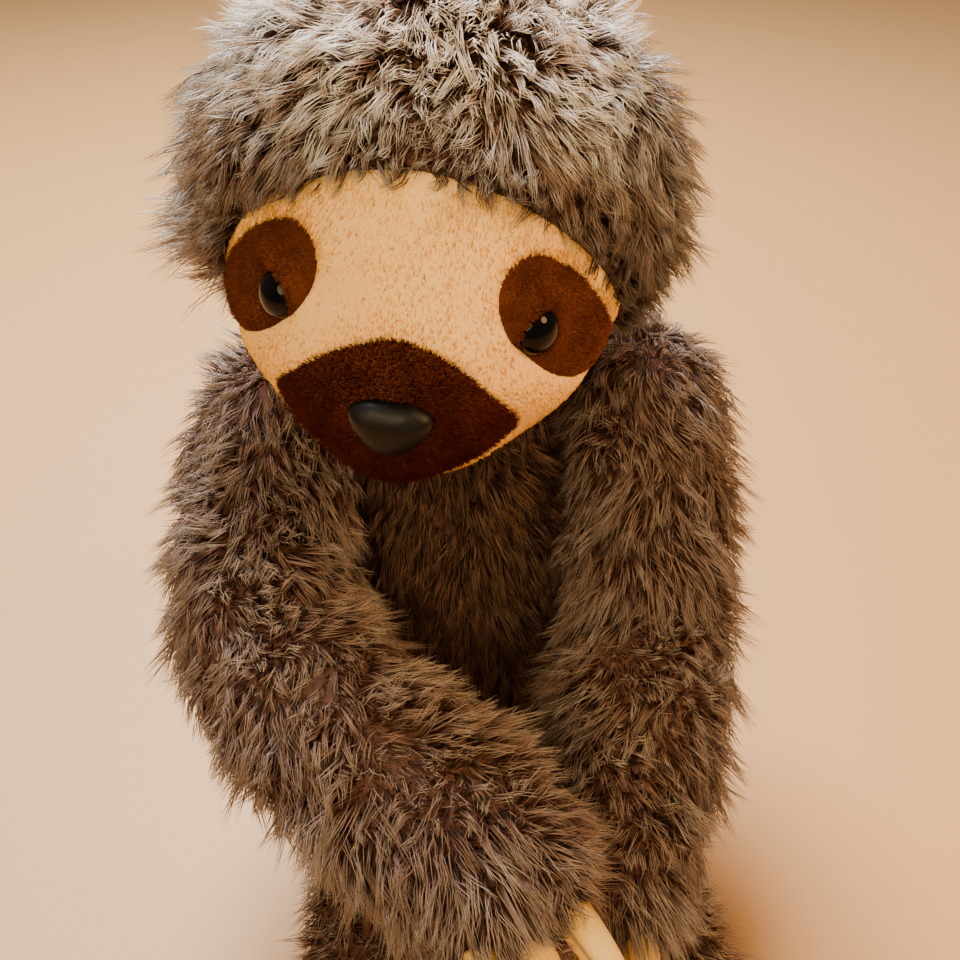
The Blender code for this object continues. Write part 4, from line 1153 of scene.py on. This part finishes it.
def make_claw(name, body, limb_end, end_radius, along, aside):
    """One claw from just outside the end's cloth to its tip, with its run and its seam marked."""
    root = limb_end + along * (math.sqrt(end_radius**2 - aside @ aside) - CLAW_ROOT) + aside
    spread = along + aside / CLAW_LENGTH / 2
    spread /= np.linalg.norm(spread)
    drop = np.array([0, 0, -1.0])
    across = np.cross(spread, drop)
    across /= np.linalg.norm(across)
    starts = np.linspace(0, 1, 200)
    line = root + spread * CLAW_LENGTH * starts[:, None] + drop * CLAW_DROP * starts[:, None] ** 2
    clear = np.linalg.norm(line - limb_end, axis=1) > end_radius - SKIN_INSET + SKIN_GAP
    first = starts[np.argmax(clear)]
    off_seam = np.linspace(0, 2 * math.pi, CLAW_TURNS, endpoint=False)
    angles = SEAM_AT + off_seam
    groove = np.exp(-((np.minimum(off_seam, 2 * math.pi - off_seam) / SEAM_ANGLE_WIDTH) ** 2))
    places = [(t, 1.0, 0.0) for t in np.linspace(first, 1, CLAW_RINGS)]
    for a in np.linspace(0, math.pi / 2, TIP_RINGS + 2)[1:-1]:
        places.append((1.0, math.cos(a), CLAW_TIP_RADIUS * math.sin(a)))
    rings, runs = [], []
    for t, share, beyond in places:
        centre = root + spread * (CLAW_LENGTH * t) + drop * CLAW_DROP * t * t
        heading = spread * CLAW_LENGTH + drop * CLAW_DROP * 2 * t
        heading /= np.linalg.norm(heading)
        upward = np.cross(heading, across)
        radius = CLAW_RADIUS + (CLAW_TIP_RADIUS - CLAW_RADIUS) * t**CLAW_TAPER
        radius = (radius - SEAM_GROOVE * groove) * share
        ways = across * np.cos(angles)[:, None] + upward * np.sin(angles)[:, None]
        rings.append(centre + heading * beyond + ways * radius[:, None])
        runs.append(t * CLAW_LENGTH + beyond)
    tip = root + spread * CLAW_LENGTH + drop * CLAW_DROP + heading * CLAW_TIP_RADIUS
    points = np.concatenate([*rings, np.array([rings[0].mean(0), tip])])
    faces = ring_faces(len(rings), CLAW_TURNS, (len(points) - 2, len(points) - 1))
    made = cloth_object(name + "_cloth", points, faces, {
        "run": np.concatenate([np.repeat(runs, CLAW_TURNS), [runs[0], runs[-1]]]),
        "seam": np.concatenate([np.tile(groove, len(rings)), [0, 0]]),
    }, claw_cream)
    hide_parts(name)
    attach(made, body)


claw_rows = (
    ("arm_right", "hand_right", RIGHT_ARM[-1], ARM_RADII[-1], (0.25, -0.94, 0.05)),
    ("arm_left", "hand_left", LEFT_ARM[-1], ARM_RADII[-1], (-0.30, -0.90, 0.05)),
    ("leg_right", "foot_right", (-LEG[-1][0], *LEG[-1][1:]), LEG_RADII[-1], (-0.08, -1, 0)),
    ("leg_left", "foot_left", LEG[-1], LEG_RADII[-1], (0.08, -1, 0)),
)
for limb, row, end, end_radius, heading in claw_rows:
    along = np.array(heading) / np.linalg.norm(heading)
    across = np.cross(along, (0, 0, 1))
    across /= np.linalg.norm(across)
    for k, word in ((-1, "left"), (0, "middle"), (1, "right")):
        make_claw(f"{row}_claw_{word}", limb, np.array(end), end_radius, along, across * k * CLAW_SPACING)


# Inner pieces: moulded lock washers hold the shanks of the eyes and the nose behind the face, and a
# cloth bag of plastic pellets weighs the seat. They keep their modelled shapes, hidden in the toy.
washer_white, tree, shader = plain_material("washer_white", (0.80, 0.80, 0.77), 0.45)
flow = ranged(tree, grain(tree, 300.0, 2.0), To_Min=0.35, To_Max=0.55)
tree.links.new(flow, shader.inputs["Roughness"])

bag_weave, tree, shader = plain_material("bag_weave", (0.62, 0.60, 0.54), 0.9)
place = object_place(tree)
threads = node(tree, "ShaderNodeTexWave", {"Vector": place, "Scale": 700.0, "Distortion": 0.6})
lumps = node(tree, "ShaderNodeTexVoronoi", {"Vector": place, "Scale": 330.0})
weave = reckoned(tree, "MULTIPLY_ADD", threads.outputs["Fac"], 0.2, lumps.outputs["Distance"])
bumped(tree, shader, weave, 0.6, 0.0008)

for name, finish in (("eye_washer_right", washer_white), ("eye_washer_left", washer_white),
                     ("nose_washer", washer_white), ("pellet_bag", bag_weave)):
    kept = bpy.data.objects[name]
    kept.data.materials.clear()
    kept.data.materials.append(finish)
